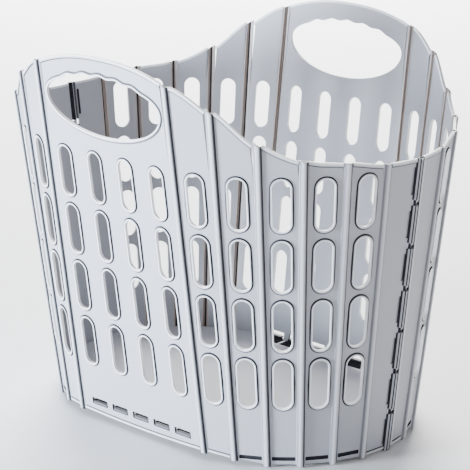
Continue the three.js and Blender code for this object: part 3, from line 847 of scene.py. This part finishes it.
def rod_plate(plane, places):
    """The end panel whose far edge carries the rod on webs, on the left as seen from outside, with
    a raised strip beside the rod, a painted highlight on its top and painted shade down its sides,
    a dark skirt along the strip, a thin sheet of painted shade, and the rod in painted shade."""
    wall, seam = sizes("walls"), sizes("seams")
    half = wall.thickness / 2
    inset = seam.curl + seam.plate_gap
    ends = (inset, sizes("ribs").reach)
    shell = Shell()
    row = foot_lip(shell, edge_path(plane, places, ends, foot_height))
    top = rim_lip(shell, edge_path(plane, places, ends, rim_height))
    shell.plate(between(row, top, 12), half)
    place, lowest = along_seam(plane, plane.left, -1)
    stop = wall.seam / plane.rise
    middle = -inset - seam.bead / 2
    base, tip = half * 0.1 - half, half + wall.foot_proud
    # The raised strip: painted highlight on its top, going over to full painted shade down its
    # sides
    strip = bar_section(seam.bead / 2, (tip - base) / 2, seam.end_round, 4)
    to_side = ramp(np.abs(strip[:, 0]), seam.bead / 3, seam.bead / 2)
    strip[:, 2] = STRIP_HIGHLIGHT + (SHADE - STRIP_HIGHLIGHT) * to_side
    strip = strip + [middle + SUNK, (tip + base) / 2, 0]
    shell.bar(strip, lowest, stop - 2 * SUNK, place, seam.end_round)
    # A thin dark sheet under the strip, a little wider: painted shade along both sides of it
    skirt = bar_section(seam.bead / 2 + CREASE_WIDTH, half / 2, SHADE_SHEET_CORNER, 1,
                        (middle, half / 2 + seam.skirt_proud), SHADE)
    shell.bar(skirt, lowest, stop - seam.end_round, place, SHADE_SHEET_CORNER)
    # The rod: full painted shade on its outer half, fading out towards its inner side
    rod = arc((0, 0), seam.rod, 0, 345, 23)
    rod = np.column_stack([rod, -ramp(rod[:, 1], -seam.rod / 2, 0)])
    shell.bar(rod, lowest, stop, place, seam.end_round)
    web = bar_section(seam.web / 2, half, seam.web_corner, 3)
    for level in notch_levels(plane):
        edge = plane.left[0] + plane.left[1] * level
        shell.bar(web + [level, 0, 0], edge, edge + inset + seam.bead / 2, crosswise)
    return shell


def handle_outline(plane, upper, lower):
    """Edge of a carry hole, counter-clockwise from the middle of its top: two half ellipses, with
    smooth finger waves hanging from the upper one that fade out beyond the last finger."""
    handle = sizes("handles")
    half = handle.width / 2
    angle = np.linspace(0, math.pi / 2, upper + 1)
    across = half * np.sin(angle)
    wave_end = handle.fingers * handle.finger_pitch / 2
    turn = 2 * math.pi * across / handle.finger_pitch
    wave = np.where(across < wave_end, 0.5 - 0.5 * np.cos(turn), 1)
    fade = ramp(across, half, wave_end)
    height = handle.middle + handle.rise * np.cos(angle) - handle.finger_depth * wave * fade
    swing = np.linspace(0, math.pi, lower + 1)[1:-1]
    left = np.stack([-across, height], axis=-1)
    below = np.stack([-half * np.cos(swing), handle.middle - handle.drop * np.sin(swing)], axis=-1)
    right = np.stack([across, height], axis=-1)[:0:-1]
    points = np.concatenate([left, below, right])
    points[:, 1] /= plane.rise
    return points, -path_normals(points, closed=True)


def hook_row(shell, plane, x, half_width):
    """Adds a wide panel's foot and the row of hook slots above it, at places along the foot that
    step across each slot, and returns the row above them."""
    wall, foot = sizes("walls"), sizes("foot")
    half = wall.thickness / 2
    middle = (plane.left[0] + plane.right[0]) / 2
    feet = foot_height(np.abs(x) / half_width - 1) / plane.rise
    row = foot_lip(shell, level_row(x + middle, feet))
    above = level_row(row[:, 0], 2 * foot.hook_level / plane.rise - row[:, 1].min())
    shell.plate(between(row[:2], above[:2], HOOK_STEPS), half)
    shell.plate(between(row[-2:], above[-2:], HOOK_STEPS), half)
    outline, outward = rounded_outline(
        foot.hook_width / 2, foot.hook_height / 2, foot.hook_corner, turn=2, across=HOOK_STEPS,
        up=2)
    # Painted shade on the hook slots' edges
    section = plain_section(wall.thickness, margin=0.0004, edge=0.0003, relief=SHADE)
    for hook in range(foot.hooks):
        first = 1 + hook * HOOK_STEPS
        cell = slice(first, first + HOOK_STEPS + 1)
        centre = [row[first + HOOK_STEPS // 2, 0], foot.hook_level / plane.rise]
        border = cell_border(row[cell], above[cell], HOOK_STEPS)
        shell.hole(outline + centre, outward, border, section, half)
    return above


def wide_plate(plane):
    """A wide panel: crown and carry hole, columns of slots, a row of hook slots, and the foot."""
    wall, slot, foot, handle = sizes("walls"), sizes("slots"), sizes("foot"), sizes("handles")
    half = wall.thickness / 2
    shell = Shell()
    middle_x = (plane.left[0] + plane.right[0]) / 2
    half_width = plane.right[0] - middle_x
    end = half_width - sizes("ribs").reach

    hook_end = foot.hooks / 2 * foot.hook_pitch
    steps = np.linspace(-hook_end, hook_end, foot.hooks * HOOK_STEPS + 1)
    row = hook_row(shell, plane, np.concatenate([[-end], steps, [end]]), half_width)

    middles, borders = slot_levels()
    edges = (np.arange(slot.columns + 1) - slot.columns / 2) * slot.wide_pitch
    edges[0], edges[-1] = -end, end
    steps = np.arange(slot.columns * ACROSS + 1) / ACROSS
    columns = np.interp(steps, np.arange(slot.columns + 1), edges) + middle_x
    above = level_row(columns, borders[0] / plane.rise)
    shell.plate(between(row, above, 4), half)
    outline, outward = slot_outline()
    for middle, border in zip(middles / plane.rise, borders[1:] / plane.rise):
        row, above = above, level_row(columns, border)
        for column in range(slot.columns):
            cell = slice(column * ACROSS, (column + 1) * ACROSS + 1)
            across = (column - (slot.columns - 1) / 2) * slot.wide_pitch
            shell.hole(outline + [middle_x + across, middle], outward,
                       cell_border(row[cell], above[cell], SIDE_STEPS), slot_section(), half)

    x = np.linspace(-end, end, CROWN_STEPS + 1)
    top = rim_lip(shell, level_row(x + middle_x, crown_height(x / half_width) / plane.rise))
    outline, outward = handle_outline(plane, CROWN_STEPS // 2 + SIDE_STEPS // 4,
                                      slot.columns * ACROSS + SIDE_STEPS // 2)
    # The carry hole's rim: painted highlight on its edge, painted shade at its foot held to a
    # lesser level
    section = lip_section(wall.thickness, handle.bead, handle.proud, fillet=0.0006, shoulder=0.0008,
                          edge=0.0008, back=0.0005, pale=0.002)
    section[:, 2] = np.maximum(section[:, 2], HANDLE_SHADE)
    border = cell_border(above, top, SIDE_STEPS // 2)
    shell.hole(outline + [middle_x, 0], outward, border, section, half, steps=4)
    return shell


def rib_section(bend):
    """Section of a living hinge across its line, x to the right panel: fillet, half-round rib and
    fillet outside, and back along the inside over the groove's low lips. Both plates dip inwards by
    half the bend."""
    wall, rib = sizes("walls").thickness / 2, sizes("ribs")
    lift = wall + rib.fillet
    fillet_x = math.sqrt((rib.radius + rib.fillet) ** 2 - lift**2)
    meet = math.degrees(math.atan2(lift, fillet_x))
    fillet = np.concatenate([[[rib.reach, wall]],
                             arc((fillet_x, lift), rib.fillet, 270, 180 + meet, 4)])
    tip_x = math.sqrt(rib.bore**2 - wall**2)
    tip = math.degrees(math.asin(wall / rib.bore)) * 0.6
    lip_start, lip_end, lip_rise = 0.0006, 0.00025, 0.00008
    inner = np.array([[rib.reach, -wall], [tip_x + lip_start, -wall],
                      [tip_x + lip_end, lip_rise - wall]])
    dip = math.degrees(bend) / 2

    def dipped(points, side):
        angle = math.radians(-dip * side)
        spin = np.array([[math.cos(angle), math.sin(angle)], [-math.sin(angle), math.cos(angle)]])
        return points * [side, 1] @ spin

    top = arc((0, 0), rib.radius, meet - dip, 180 - meet + dip, 22)[1:-1]
    groove = arc((0, 0), rib.bore, 180 + tip + dip, -tip - dip, 18)
    return np.concatenate([dipped(fillet, 1), top, dipped(fillet, -1)[::-1],
                           dipped(inner, -1), groove, dipped(inner, 1)[::-1]])


def hinge_strip(name, bodies, places, widths):
    """The living hinge on one line. Its section runs from the foot to the rim, follows both edges,
    and has rounded ends; it is bent to the angle between the two panels. The relief is painted
    shade down the rib's right flank, less of it down the left one, and a little painted highlight
    along its top. The groove value is 0.5 in the groove and up to 1 in its middle, and fades out
    over the
    inside beside it: a painted glow of light through the thin hinge, with painted shade in the
    groove's middle."""
    point, run = LINES[name]
    up = unit(run)
    left_normal, right_normal = (PANEL_NORMALS[body] for body in bodies)
    outward = unit(left_normal + right_normal)
    outward = unit(outward - up * (outward @ up))
    across = np.cross(up, outward)
    half, rib = sizes("walls").thickness / 2, sizes("ribs")
    section = rib_section(math.acos(np.clip(left_normal @ right_normal, -1, 1)))
    x, out = section.T
    here = sum(places) // 2
    place = here + (np.where(x < 0, *places) - here) * np.abs(x) / np.where(x < 0, *widths)
    raised = ramp(out, half, rib.radius)
    sink = out * outward[2]
    top = (rim_height(place) - sink) / up[2]
    low = (foot_height(place) - rib.foot_drop * ramp(raised, 0, 1 / 6) - sink) / up[2]

    def ring(level, size):
        shrunk = np.minimum(out, half) + np.maximum(out - half, 0) * size
        return np.stack([x, level, shrunk], axis=-1)

    grid = [ring(low + share * rib.dome, size) for share, size in RIB_END]
    grid += [ring(top - share * rib.dome, size) for share, size in reversed(RIB_END)]
    shell = Shell()
    shell.patch(np.array(grid), closed=True)
    data = shell.mesh(name)
    local = vertices(data)
    side, height = np.abs(local[:, 0]), local[:, 2]
    # Painted shade down the rib's flanks, the left one taking only a share of it, and a painted
    # highlight along its top
    flank = ramp(1.7 * side / rib.radius, 0.4, 1.4) * (side < rib.reach - TOUCHING)
    flank = flank * np.where(local[:, 0] < 0, rib.left_shade, 1.0)
    ridge = rib.ridge_pale * ramp(side / rib.radius, 0.8, 0.3)
    relief = np.where(height > half - TOUCHING, ridge - flank, 0)
    data.attributes["relief"].data.foreach_set("value", relief.astype(np.float32))
    # The groove value: a painted glow of light through the thin hinge, over the inside beside the
    # groove and full in it, and painted shade in the groove's middle
    beside = ramp(side, rib.reach, rib.bore)
    core = 1 + ramp(side / CREASE_WIDTH, 1.5, 0.5)
    inside = np.hypot(side, height) < rib.bore + rib.groove_lap
    point_values(data, "groove", np.where(inside, core, beside) / 2 * (inside | (height < 0)))
    axes = np.array([across, up, outward])
    piece = finish_piece(name, data, lambda points: points @ axes + point, "wall")
    middle = point + up * BLEND_HEIGHT
    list(bodies)
    tuple(middle - across * rib.reach)
    tuple(middle + across * rib.reach)
    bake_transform(piece)


class Value:
    """A shader value that Python sums work on: each operation adds its Math node."""

    def __init__(self, surface, socket):
        self.surface, self.socket = surface, socket

    def _node(self, operation, first, second):
        return self.surface.add("ShaderNodeMath", {"operation": operation}, {0: first, 1: second})

    def __add__(self, other):
        return self._node("ADD", self, other)

    def __radd__(self, other):
        return self._node("ADD", other, self)

    def __sub__(self, other):
        return self._node("SUBTRACT", self, other)

    def __rsub__(self, other):
        return self._node("SUBTRACT", other, self)

    def __mul__(self, other):
        return self._node("MULTIPLY", self, other)

    def __rmul__(self, other):
        return self._node("MULTIPLY", other, self)

    def clamped(self):
        """The value held between 0 and 1."""
        return self.surface.add("ShaderNodeClamp", {}, {"Value": self})


class Surface:
    """A material made of nodes, with a Principled shader that its values feed."""

    def __init__(self, name):
        self.material = bpy.data.materials.new(name)
        self.material.use_nodes = True
        self.tree = self.material.node_tree
        self.shader = self.tree.nodes["Principled BSDF"]
        self.place = self.add("ShaderNodeTexCoord", output="Object")

    def add(self, kind, settings=None, inputs=None, output=0):
        """Adds a node of a type, its settings first, then the values or links of its sockets, and
        returns one of its outputs."""
        node = self.tree.nodes.new(kind)
        for key, value in (settings or {}).items():
            setattr(node, key, value)
        for key, value in (inputs or {}).items():
            self.feed(node.inputs[key], value)
        return Value(self, node.outputs[output])

    def feed(self, socket, value):
        """Gives a socket a link or a plain value."""
        if isinstance(value, Value):
            self.tree.links.new(value.socket, socket)
        else:
            socket.default_value = value

    def noise(self, scale, detail=2.0, stretch=None):
        """Soft random values about a half, at a scale per metre, stretched when asked."""
        place = self.place
        if stretch:
            place = self.add("ShaderNodeMapping", {}, {"Vector": place, "Scale": stretch})
        return self.add("ShaderNodeTexNoise", {}, {
            "Vector": place, "Scale": scale, "Detail": detail}, "Fac")

    def stored(self, name):
        """A number stored on the mesh, 0 where the mesh has none."""
        return self.add("ShaderNodeAttribute", {"attribute_name": name}, output="Fac")

    def height(self):
        """Height over the floor."""
        return self.add("ShaderNodeSeparateXYZ", {}, {"Vector": self.place}, "Z")

    def mix(self, share, first, second):
        """A colour between two, by a share. A Mix node takes colours in its sockets 6 and 7 and
        gives one in its third."""
        return self.add("ShaderNodeMix", {"data_type": "RGBA"}, {0: share, 6: first, 7: second}, 2)

    def bump(self, height, distance, strength):
        """A surface direction from small heights."""
        return self.add("ShaderNodeBump", {}, {
            "Height": height, "Distance": distance, "Strength": strength})

    def set(self, **values):
        """Feeds the shader's sockets, written with _ for a space."""
        for key, value in values.items():
            self.feed(self.shader.inputs[key.replace("_", " ")], value)

    def dull(self, share, colour):
        """Mixes in a second shader of one colour without any gloss, by a share."""
        second = self.add("ShaderNodeBsdfPrincipled", {}, {
            "Base Color": colour, "Roughness": 0.9, "Specular IOR Level": 0.0})
        first = Value(self, self.shader.outputs[0])
        mixed = self.add("ShaderNodeMixShader", {}, {0: share, 1: first, 2: second})
        self.feed(self.tree.nodes["Material Output"].inputs["Surface"], mixed)


def opaque(colour):
    """A colour with its alpha."""
    return [*colour, 1.0]


def moulded_plastic(name, colour, gloss):
    """Satin moulded polypropylene: faint clouds and upright flow marks in its tone, a painted
    highlight on thin edges, painted shade without gloss in creases and in the grooves' middles, a
    painted glow of light through the thin hinges in and beside their grooves, scuffs near the
    floor, and a fine even grain."""
    finish = sizes("finish")
    surface = Surface(name)
    clouds = surface.noise(scale=7.0, detail=3.0)
    flow = surface.noise(scale=60.0, stretch=(1.0, 1.0, 0.06))
    grain = surface.noise(scale=2600.0, detail=1.0)
    scuffs = surface.noise(scale=420.0, detail=4.0, stretch=(1.0, 1.0, 0.3))
    # Painted light stored on the meshes: relief holds painted highlight and painted shade, groove
    # the hinges' painted glow and shade
    relief, groove = surface.stored("relief"), surface.stored("groove")
    tone = ((clouds - 0.5) * 0.5 + (flow - 0.5) * 0.22 + 0.5).clamped()
    darker = [channel * share for channel, share in zip(colour, (0.93, 0.94, 0.96))]
    lighter = [min(channel * 1.05, 1.0) for channel in colour]
    body = surface.mix(tone, opaque(darker), opaque(lighter))
    # Painted highlight on thin edges, and painted shade in creases in the dark colour below
    pale = (relief * (0.75 + clouds * 0.3)).clamped()
    crease = (relief * -1.0).clamped()
    dark = opaque(finish.crease)
    painted_light_tone = surface.mix(crease, surface.mix(pale, body, opaque(finish.rim)), dark)
    low = (1.0 - surface.height() * (1 / finish.wear_height)).clamped()
    wear = ((scuffs - 0.52) * 5.0).clamped() * low
    painted_light_and_wear = surface.mix(wear * 0.35, painted_light_tone, opaque(finish.wear))
    # Painted glow of light through the thin hinges, patchy with the clouds, in and beside their
    # grooves, and painted shade in the grooves' middles
    glow_clouds = (clouds * 3.0 - 1.0).clamped()
    hinge_glow = (groove * 2.0).clamped() * (0.6 + glow_clouds * 0.3)
    core = (groove * 2.0 - 1.0).clamped() * 0.9
    # Painted shade loses its gloss as well as its colour
    surface.dull((crease + core).clamped(), dark)
    surface.set(
        Base_Color=surface.mix(core, surface.mix(hinge_glow, painted_light_and_wear, opaque(finish.groove)), dark),
        Roughness=(gloss + (flow - 0.5) * 0.12 + (clouds - 0.5) * 0.08 + wear * 0.25).clamped(),
        Normal=surface.bump(grain + (flow - 0.5) * 1.5, distance=0.00008, strength=0.35),
        IOR=1.49,
    )
    return surface.material


def plastic(part):
    """The finish of the walls or of the base, made once."""
    name = f"{part}_polypropylene"
    finish = sizes("finish")
    roughness = {"wall": finish.wall_roughness, "base": finish.base_roughness}[part]
    return bpy.data.materials.get(name) or moulded_plastic(name, getattr(finish, part), roughness)


def wide_plane(half):
    """Plane of a wide panel."""
    curl_side, rod_side, _, _ = panel_names(half)
    return Plane(f"{rod_side}_hinge_1", f"{curl_side}_hinge_1")


PANEL_NORMALS = {name: Plane(*ends).axes[2] for name, ends, _, _ in side_panels()}
PANEL_NORMALS.update({f"{half}_wide_panel": wide_plane(half).axes[2] for half in HALVES})


def body_piece(node, shell, world, part):
    """Puts a moulding in place of its node, on the node's body."""
    name = f"{node}_moulding"
    piece = finish_piece(name, shell.mesh(name), world, part)
    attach(piece, node)
    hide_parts(node)


class HAMPER_OT_wide_panels(bpy.types.Operator):
    """Makes the two wide panels with their carry holes, slots and hook slots"""
    bl_idname = "hamper.wide_panels"
    bl_label = "Wide panels"

    def execute(self, context):
        for half in HALVES:
            plane = wide_plane(half)
            body_piece(f"{half}_wide_panel", wide_plate(plane), plane.world, "wall")
        return {"FINISHED"}


class HAMPER_OT_narrow_panels(bpy.types.Operator):
    """Makes the narrow panels with one column of slots each"""
    bl_idname = "hamper.narrow_panels"
    bl_label = "Narrow panels"

    def execute(self, context):
        for name, ends, places, number in side_panels():
            if number <= NARROW_PANELS:
                plane = Plane(*ends)
                body_piece(name, narrow_plate(plane, places, number), plane.world, "wall")
        return {"FINISHED"}


class HAMPER_OT_end_panels(bpy.types.Operator):
    """Makes the end panels of the snap seams, two with curls and two with a rod on webs"""
    bl_idname = "hamper.end_panels"
    bl_label = "End panels and snap seams"

    def execute(self, context):
        for name, ends, places, number in side_panels():
            if number > NARROW_PANELS:
                plane = Plane(*ends)
                plate = curl_plate if places[1] > places[0] else rod_plate
                body_piece(name, plate(plane, places), plane.world, "wall")
        return {"FINISHED"}


class HAMPER_OT_living_hinges(bpy.types.Operator):
    """Makes the half-round living hinges between neighbouring panels of each half"""
    bl_idname = "hamper.living_hinges"
    bl_label = "Living hinges"

    def execute(self, context):
        widths = {name: np.linalg.norm(LINES[ends[1]][0] - LINES[ends[0]][0]) * WIDENING
                  for name, ends, _, _ in side_panels()}
        for half in HALVES:
            plane = wide_plane(half)
            widths[f"{half}_wide_panel"] = (plane.right[0] - plane.left[0]) / 2
            curl_side, rod_side, _, _ = panel_names(half)
            for side, order in ((curl_side, 1), (rod_side, -1)):
                chain = [f"{half}_wide_panel"] + side_names(side)
                for index, name in enumerate(hinge_names(side)):
                    bodies = chain[index:index + 2][::order]
                    hinge_strip(name, bodies, (index - 1, index + 1)[::order],
                                [widths[body] for body in bodies])
        return {"FINISHED"}


def floor_half_width(height, gap):
    """Half width of the floor space at places along Y, at a height and drawn in by a gap from the
    walls: the meeting points of the walls' drawn-in lines, from the front wide panel to the back
    one."""
    wall = sizes("walls").thickness / 2 + gap
    names = hinge_names("front_right") + ["right_seam"]
    corners = np.array([(LINES[name][0] + LINES[name][1] * height)[:2] for name in names])
    corners = np.concatenate([corners[:1] * [-1, 1], corners])
    tangent = np.diff(corners, axis=0)
    tangent /= np.linalg.norm(tangent, axis=1, keepdims=True)
    outward = np.stack([tangent[:, 1], -tangent[:, 0]], axis=-1)
    reach = np.einsum("ij,ij->i", outward, corners[1:]) - wall
    pairs = np.stack([outward[:-1], outward[1:]], axis=1)
    inner = np.linalg.solve(pairs, np.stack([reach[:-1], reach[1:]], axis=1)[..., None])[..., 0]
    inner = np.concatenate([inner, [[reach[-1] / outward[-1, 0], 0.0]]])
    return np.concatenate([inner, inner[-2::-1] * [1, -1]])


def flap_outline(corners, start, stop, limit, cut_x):
    """Outline of a flap from its hinge edge to its free edge, counter-clockwise: the floor space's
    outline, no wider than a limit, with a narrow relief cut beside the hooks on each side."""
    base = sizes("base")
    depths = corners[(corners[:, 1] > start) & (corners[:, 1] < stop), 1]
    depths = np.concatenate([[start], depths, [stop]])
    widths = np.minimum(np.interp(depths, corners[:, 1], corners[:, 0]), limit)
    right = np.stack([widths, depths], axis=-1)
    side = base.relief_width / 2
    cut = np.array([[-side, 0], [-side, base.relief_length], [side, base.relief_length], [side, 0]])
    cuts = np.concatenate([cut - [cut_x, 0], cut + [cut_x, 0]]) + [0, start]
    return np.concatenate([right, right[::-1] * [-1, 1], cuts])


def base_flap(long):
    """One base flap in the frame of the hamper's front half: its plate, in painted shade
    underneath, tongues in the hook slots in dim painted shade, legs from the tongues down to the
    plate in full painted shade, and dark pockets behind the legs, thin sheets of painted shade seen
    through the hook slots."""
    wall, foot, base = sizes("walls"), sizes("foot"), sizes("base")
    half = wall.thickness / 2
    point, run = LINES["front_right_hinge_1"]
    axis_y = point[1] + run[1] * foot.hook_level
    drop = base.drop if long else base.drop + base.thickness + base.stack_gap
    reach = -2 * axis_y - base.reach + base.lap if long else base.reach
    top = foot.hook_level - drop
    low = top - base.thickness
    start = (axis_y + half * math.hypot(1, run[1]) - (drop + base.thickness) * run[1]
             + foot.hook_height / 2 - base.tongue_inset)
    seam_point, seam_run = LINES["right_seam"]
    limit = seam_point[0] + seam_run[0] * top - sizes("seams").curl - base.edge_gap
    last_hook = (foot.hooks - 1) / 2 * foot.hook_pitch + foot.hook_width / 2
    outline = flap_outline(floor_half_width(low, base.edge_gap), start, axis_y + reach, limit,
                           last_hook + base.relief_width)
    section = plain_section(base.thickness, margin=0.0006, edge=0.0004)
    shell = Shell()
    rings = carried(outline, path_normals(outline, closed=True), section)
    rings[..., 2] += (top + low) / 2
    # Painted shade over the flap's underside
    rings[-1, :, 3] = DIM_SHADE
    shell.patch(rings, closed=True)
    outer, inner = -half - base.tongue_proud, base.tongue_inset
    tongue_level = foot.hook_level - base.tongue_drop - base.tongue / 2
    # Tongues in dim painted shade
    tongue = bar_section((inner - outer) / 2, base.tongue / 2, base.tongue_corner, 3,
                         (axis_y + (inner + outer) / 2, tongue_level), DIM_SHADE)
    # Legs in full painted shade, and behind each hook a thin dark sheet: painted shade seen through
    # the hook slot
    leg_top = foot.hook_level - base.drop
    leg = bar_section(base.leg / 2, (leg_top - low) / 2, base.leg_corner, 3,
                      (start + base.leg / 2, (low + leg_top) / 2), SHADE)
    pocket = bar_section(base.pocket / 2, SHADE_SHEET, SHADE_SHEET_CORNER, 1,
                         (start + base.pocket_inset + base.pocket / 2, top - SUNK), SHADE)
    left, right = base.tongue_gap - foot.hook_width / 2, foot.hook_width / 2 - base.tongue_gap
    for hook in range(foot.hooks):
        middle = (hook - (foot.hooks - 1) / 2) * foot.hook_pitch
        for section, first, last in ((tongue, left + base.tongue_shift, right), (leg, left, right),
                                     (pocket, left - base.pocket_lap, right + base.pocket_lap)):
            shell.bar(section, middle + first, middle + last, crosswise, SHADE_SHEET_CORNER)
    return shell


class HAMPER_OT_base_flaps(bpy.types.Operator):
    """Makes the two flaps of the base, hooked into the wide panels"""
    bl_idname = "hamper.base_flaps"
    bl_label = "Base flaps"

    def execute(self, context):
        for node, long, turn in (("base_long_flap", True, 1), ("base_short_flap", False, -1)):
            body_piece(node, base_flap(long), lambda points: points * [turn, turn, 1], "base")
        return {"FINISHED"}


class HAMPER_OT_stage(bpy.types.Operator):
    """Makes the pale floor, the backdrop, the soft studio light and the camera"""
    bl_idname = "hamper.stage"
    bl_label = "Floor, light and camera"

    def execute(self, context):
        stage = sizes("stage")
        reach = stage.floor_reach
        corners = [(x, y, -stage.floor_drop) for x, y in
                   ((-reach, -reach), (reach, -reach), (reach, reach), (-reach, reach))]
        stage_piece("floor", corners, [(0, 1, 2, 3)], roughness=0.7)
        turns = np.linspace(0, 2 * math.pi, stage.backdrop_sides, endpoint=False)
        ring = np.stack([np.cos(turns), np.sin(turns), turns * 0], axis=-1) * stage.backdrop_radius
        first = np.arange(len(turns))
        after = np.roll(first, -1)
        faces = np.stack([after, first, first + len(turns), after + len(turns)], axis=-1)
        stage_piece("backdrop", np.concatenate([ring, ring + [0, 0, stage.backdrop_height]]),
                    faces, roughness=0.9, glow=0.15)
        world = bpy.data.worlds.new("studio")
        world.use_nodes = True
        background = world.node_tree.nodes["Background"].inputs
        background["Color"].default_value = (0.95, 0.96, 1.0, 1.0)
        background["Strength"].default_value = 0.03
        context.scene.world = world
        white = (1.0, 1.0, 1.0)
        lamp("key", (-0.6, -1.38, 0.14), size=0.5, power=130.0, colour=(0.78, 0.88, 1.0))
        lamp("low", (1.25, -1.15, 0.12), size=0.8, power=2.0, colour=(1.0, 0.98, 0.96))
        lamp("top", (0.0, 0.0, 3.2), size=4.0, power=30.0, colour=white)
        lamp("back", (-2.2, 2.4, 2.0), size=3.0, power=560.0, colour=white)
        camera = linked("camera", bpy.data.cameras.new("camera"))
        camera.data.lens = stage.lens
        camera.data.sensor_width = 36.0
        camera.data.shift_x = stage.shift
        camera.data.clip_end = 50.0
        place, aim = Vector(stage.camera), Vector(stage.aim)
        look = (aim - place).to_track_quat("-Z", "Y").to_matrix()
        look = look @ Matrix.Rotation(stage.roll, 3, "Z")
        camera.matrix_world = Matrix.Translation(place) @ look.to_4x4()
        context.scene.camera = camera
        return {"FINISHED"}


def stage_piece(name, points, faces, roughness, glow=None):
    """A pale sheet of the stage, with a faint glow of its own when asked."""
    data = bpy.data.meshes.new(name)
    data.from_pydata(points, [], faces)
    surface = Surface(f"pale_{name}")
    pale = opaque(sizes("finish").floor)
    surface.set(Base_Color=pale, Roughness=roughness)
    if glow:
        surface.set(Emission_Color=pale, Emission_Strength=glow)
    data.materials.append(surface.material)
    linked(name, data)


def lamp(name, place, size, power, colour):
    """A round soft lamp that is turned to the hamper and isn't seen itself."""
    light = bpy.data.lights.new(name, "AREA")
    light.shape = "DISK"
    light.size = size
    light.energy = power
    light.color = colour
    new = linked(name, light)
    new.location = place
    new.visible_camera = False
    aim = Vector((0, 0, sizes("stage").lamp_aim)) - Vector(place)
    new.rotation_euler = aim.to_track_quat("-Z", "Y").to_euler()


OPERATORS = (
    HAMPER_OT_wide_panels,
    HAMPER_OT_narrow_panels,
    HAMPER_OT_end_panels,
    HAMPER_OT_living_hinges,
    HAMPER_OT_base_flaps,
    HAMPER_OT_stage,
)
GROUPS = {
    "walls": HamperWallSizes,
    "ribs": HamperRibSizes,
    "slots": HamperSlotSizes,
    "handles": HamperHandleSizes,
    "foot": HamperFootSizes,
    "seams": HamperSeamSizes,
    "base": HamperBaseSizes,
    "finish": HamperFinish,
    "stage": HamperStage,
}


class HAMPER_PT_panel(bpy.types.Panel):
    """Lists the hamper's pieces"""
    bl_idname = "HAMPER_PT_panel"
    bl_label = "Laundry hamper"
    bl_space_type = "VIEW_3D"
    bl_region_type = "UI"
    bl_category = "Hamper"

    def draw(self, context):
        for operator in OPERATORS:
            self.layout.operator(operator.bl_idname)
        for name, group in GROUPS.items():
            box = self.layout.box()
            box.label(text=name.capitalize())
            for key in group.__annotations__:
                box.prop(sizes(name), key)


def register():
    for group in GROUPS.values():
        bpy.utils.register_class(group)
    for name, group in GROUPS.items():
        setattr(bpy.types.Scene, f"hamper_{name}", PointerProperty(type=group))
    for operator in OPERATORS:
        bpy.utils.register_class(operator)
    bpy.utils.register_class(HAMPER_PT_panel)


def unregister():
    bpy.utils.unregister_class(HAMPER_PT_panel)
    for operator in reversed(OPERATORS):
        bpy.utils.unregister_class(operator)
    for name, group in GROUPS.items():
        delattr(bpy.types.Scene, f"hamper_{name}")
        bpy.utils.unregister_class(group)


def main():
    """Makes every piece."""
    register()
    bpy.ops.hamper.stage()
    bpy.ops.hamper.wide_panels()
    bpy.ops.hamper.narrow_panels()
    bpy.ops.hamper.end_panels()
    bpy.ops.hamper.living_hinges()
    bpy.ops.hamper.base_flaps()


if __name__ == "__main__":
    main()
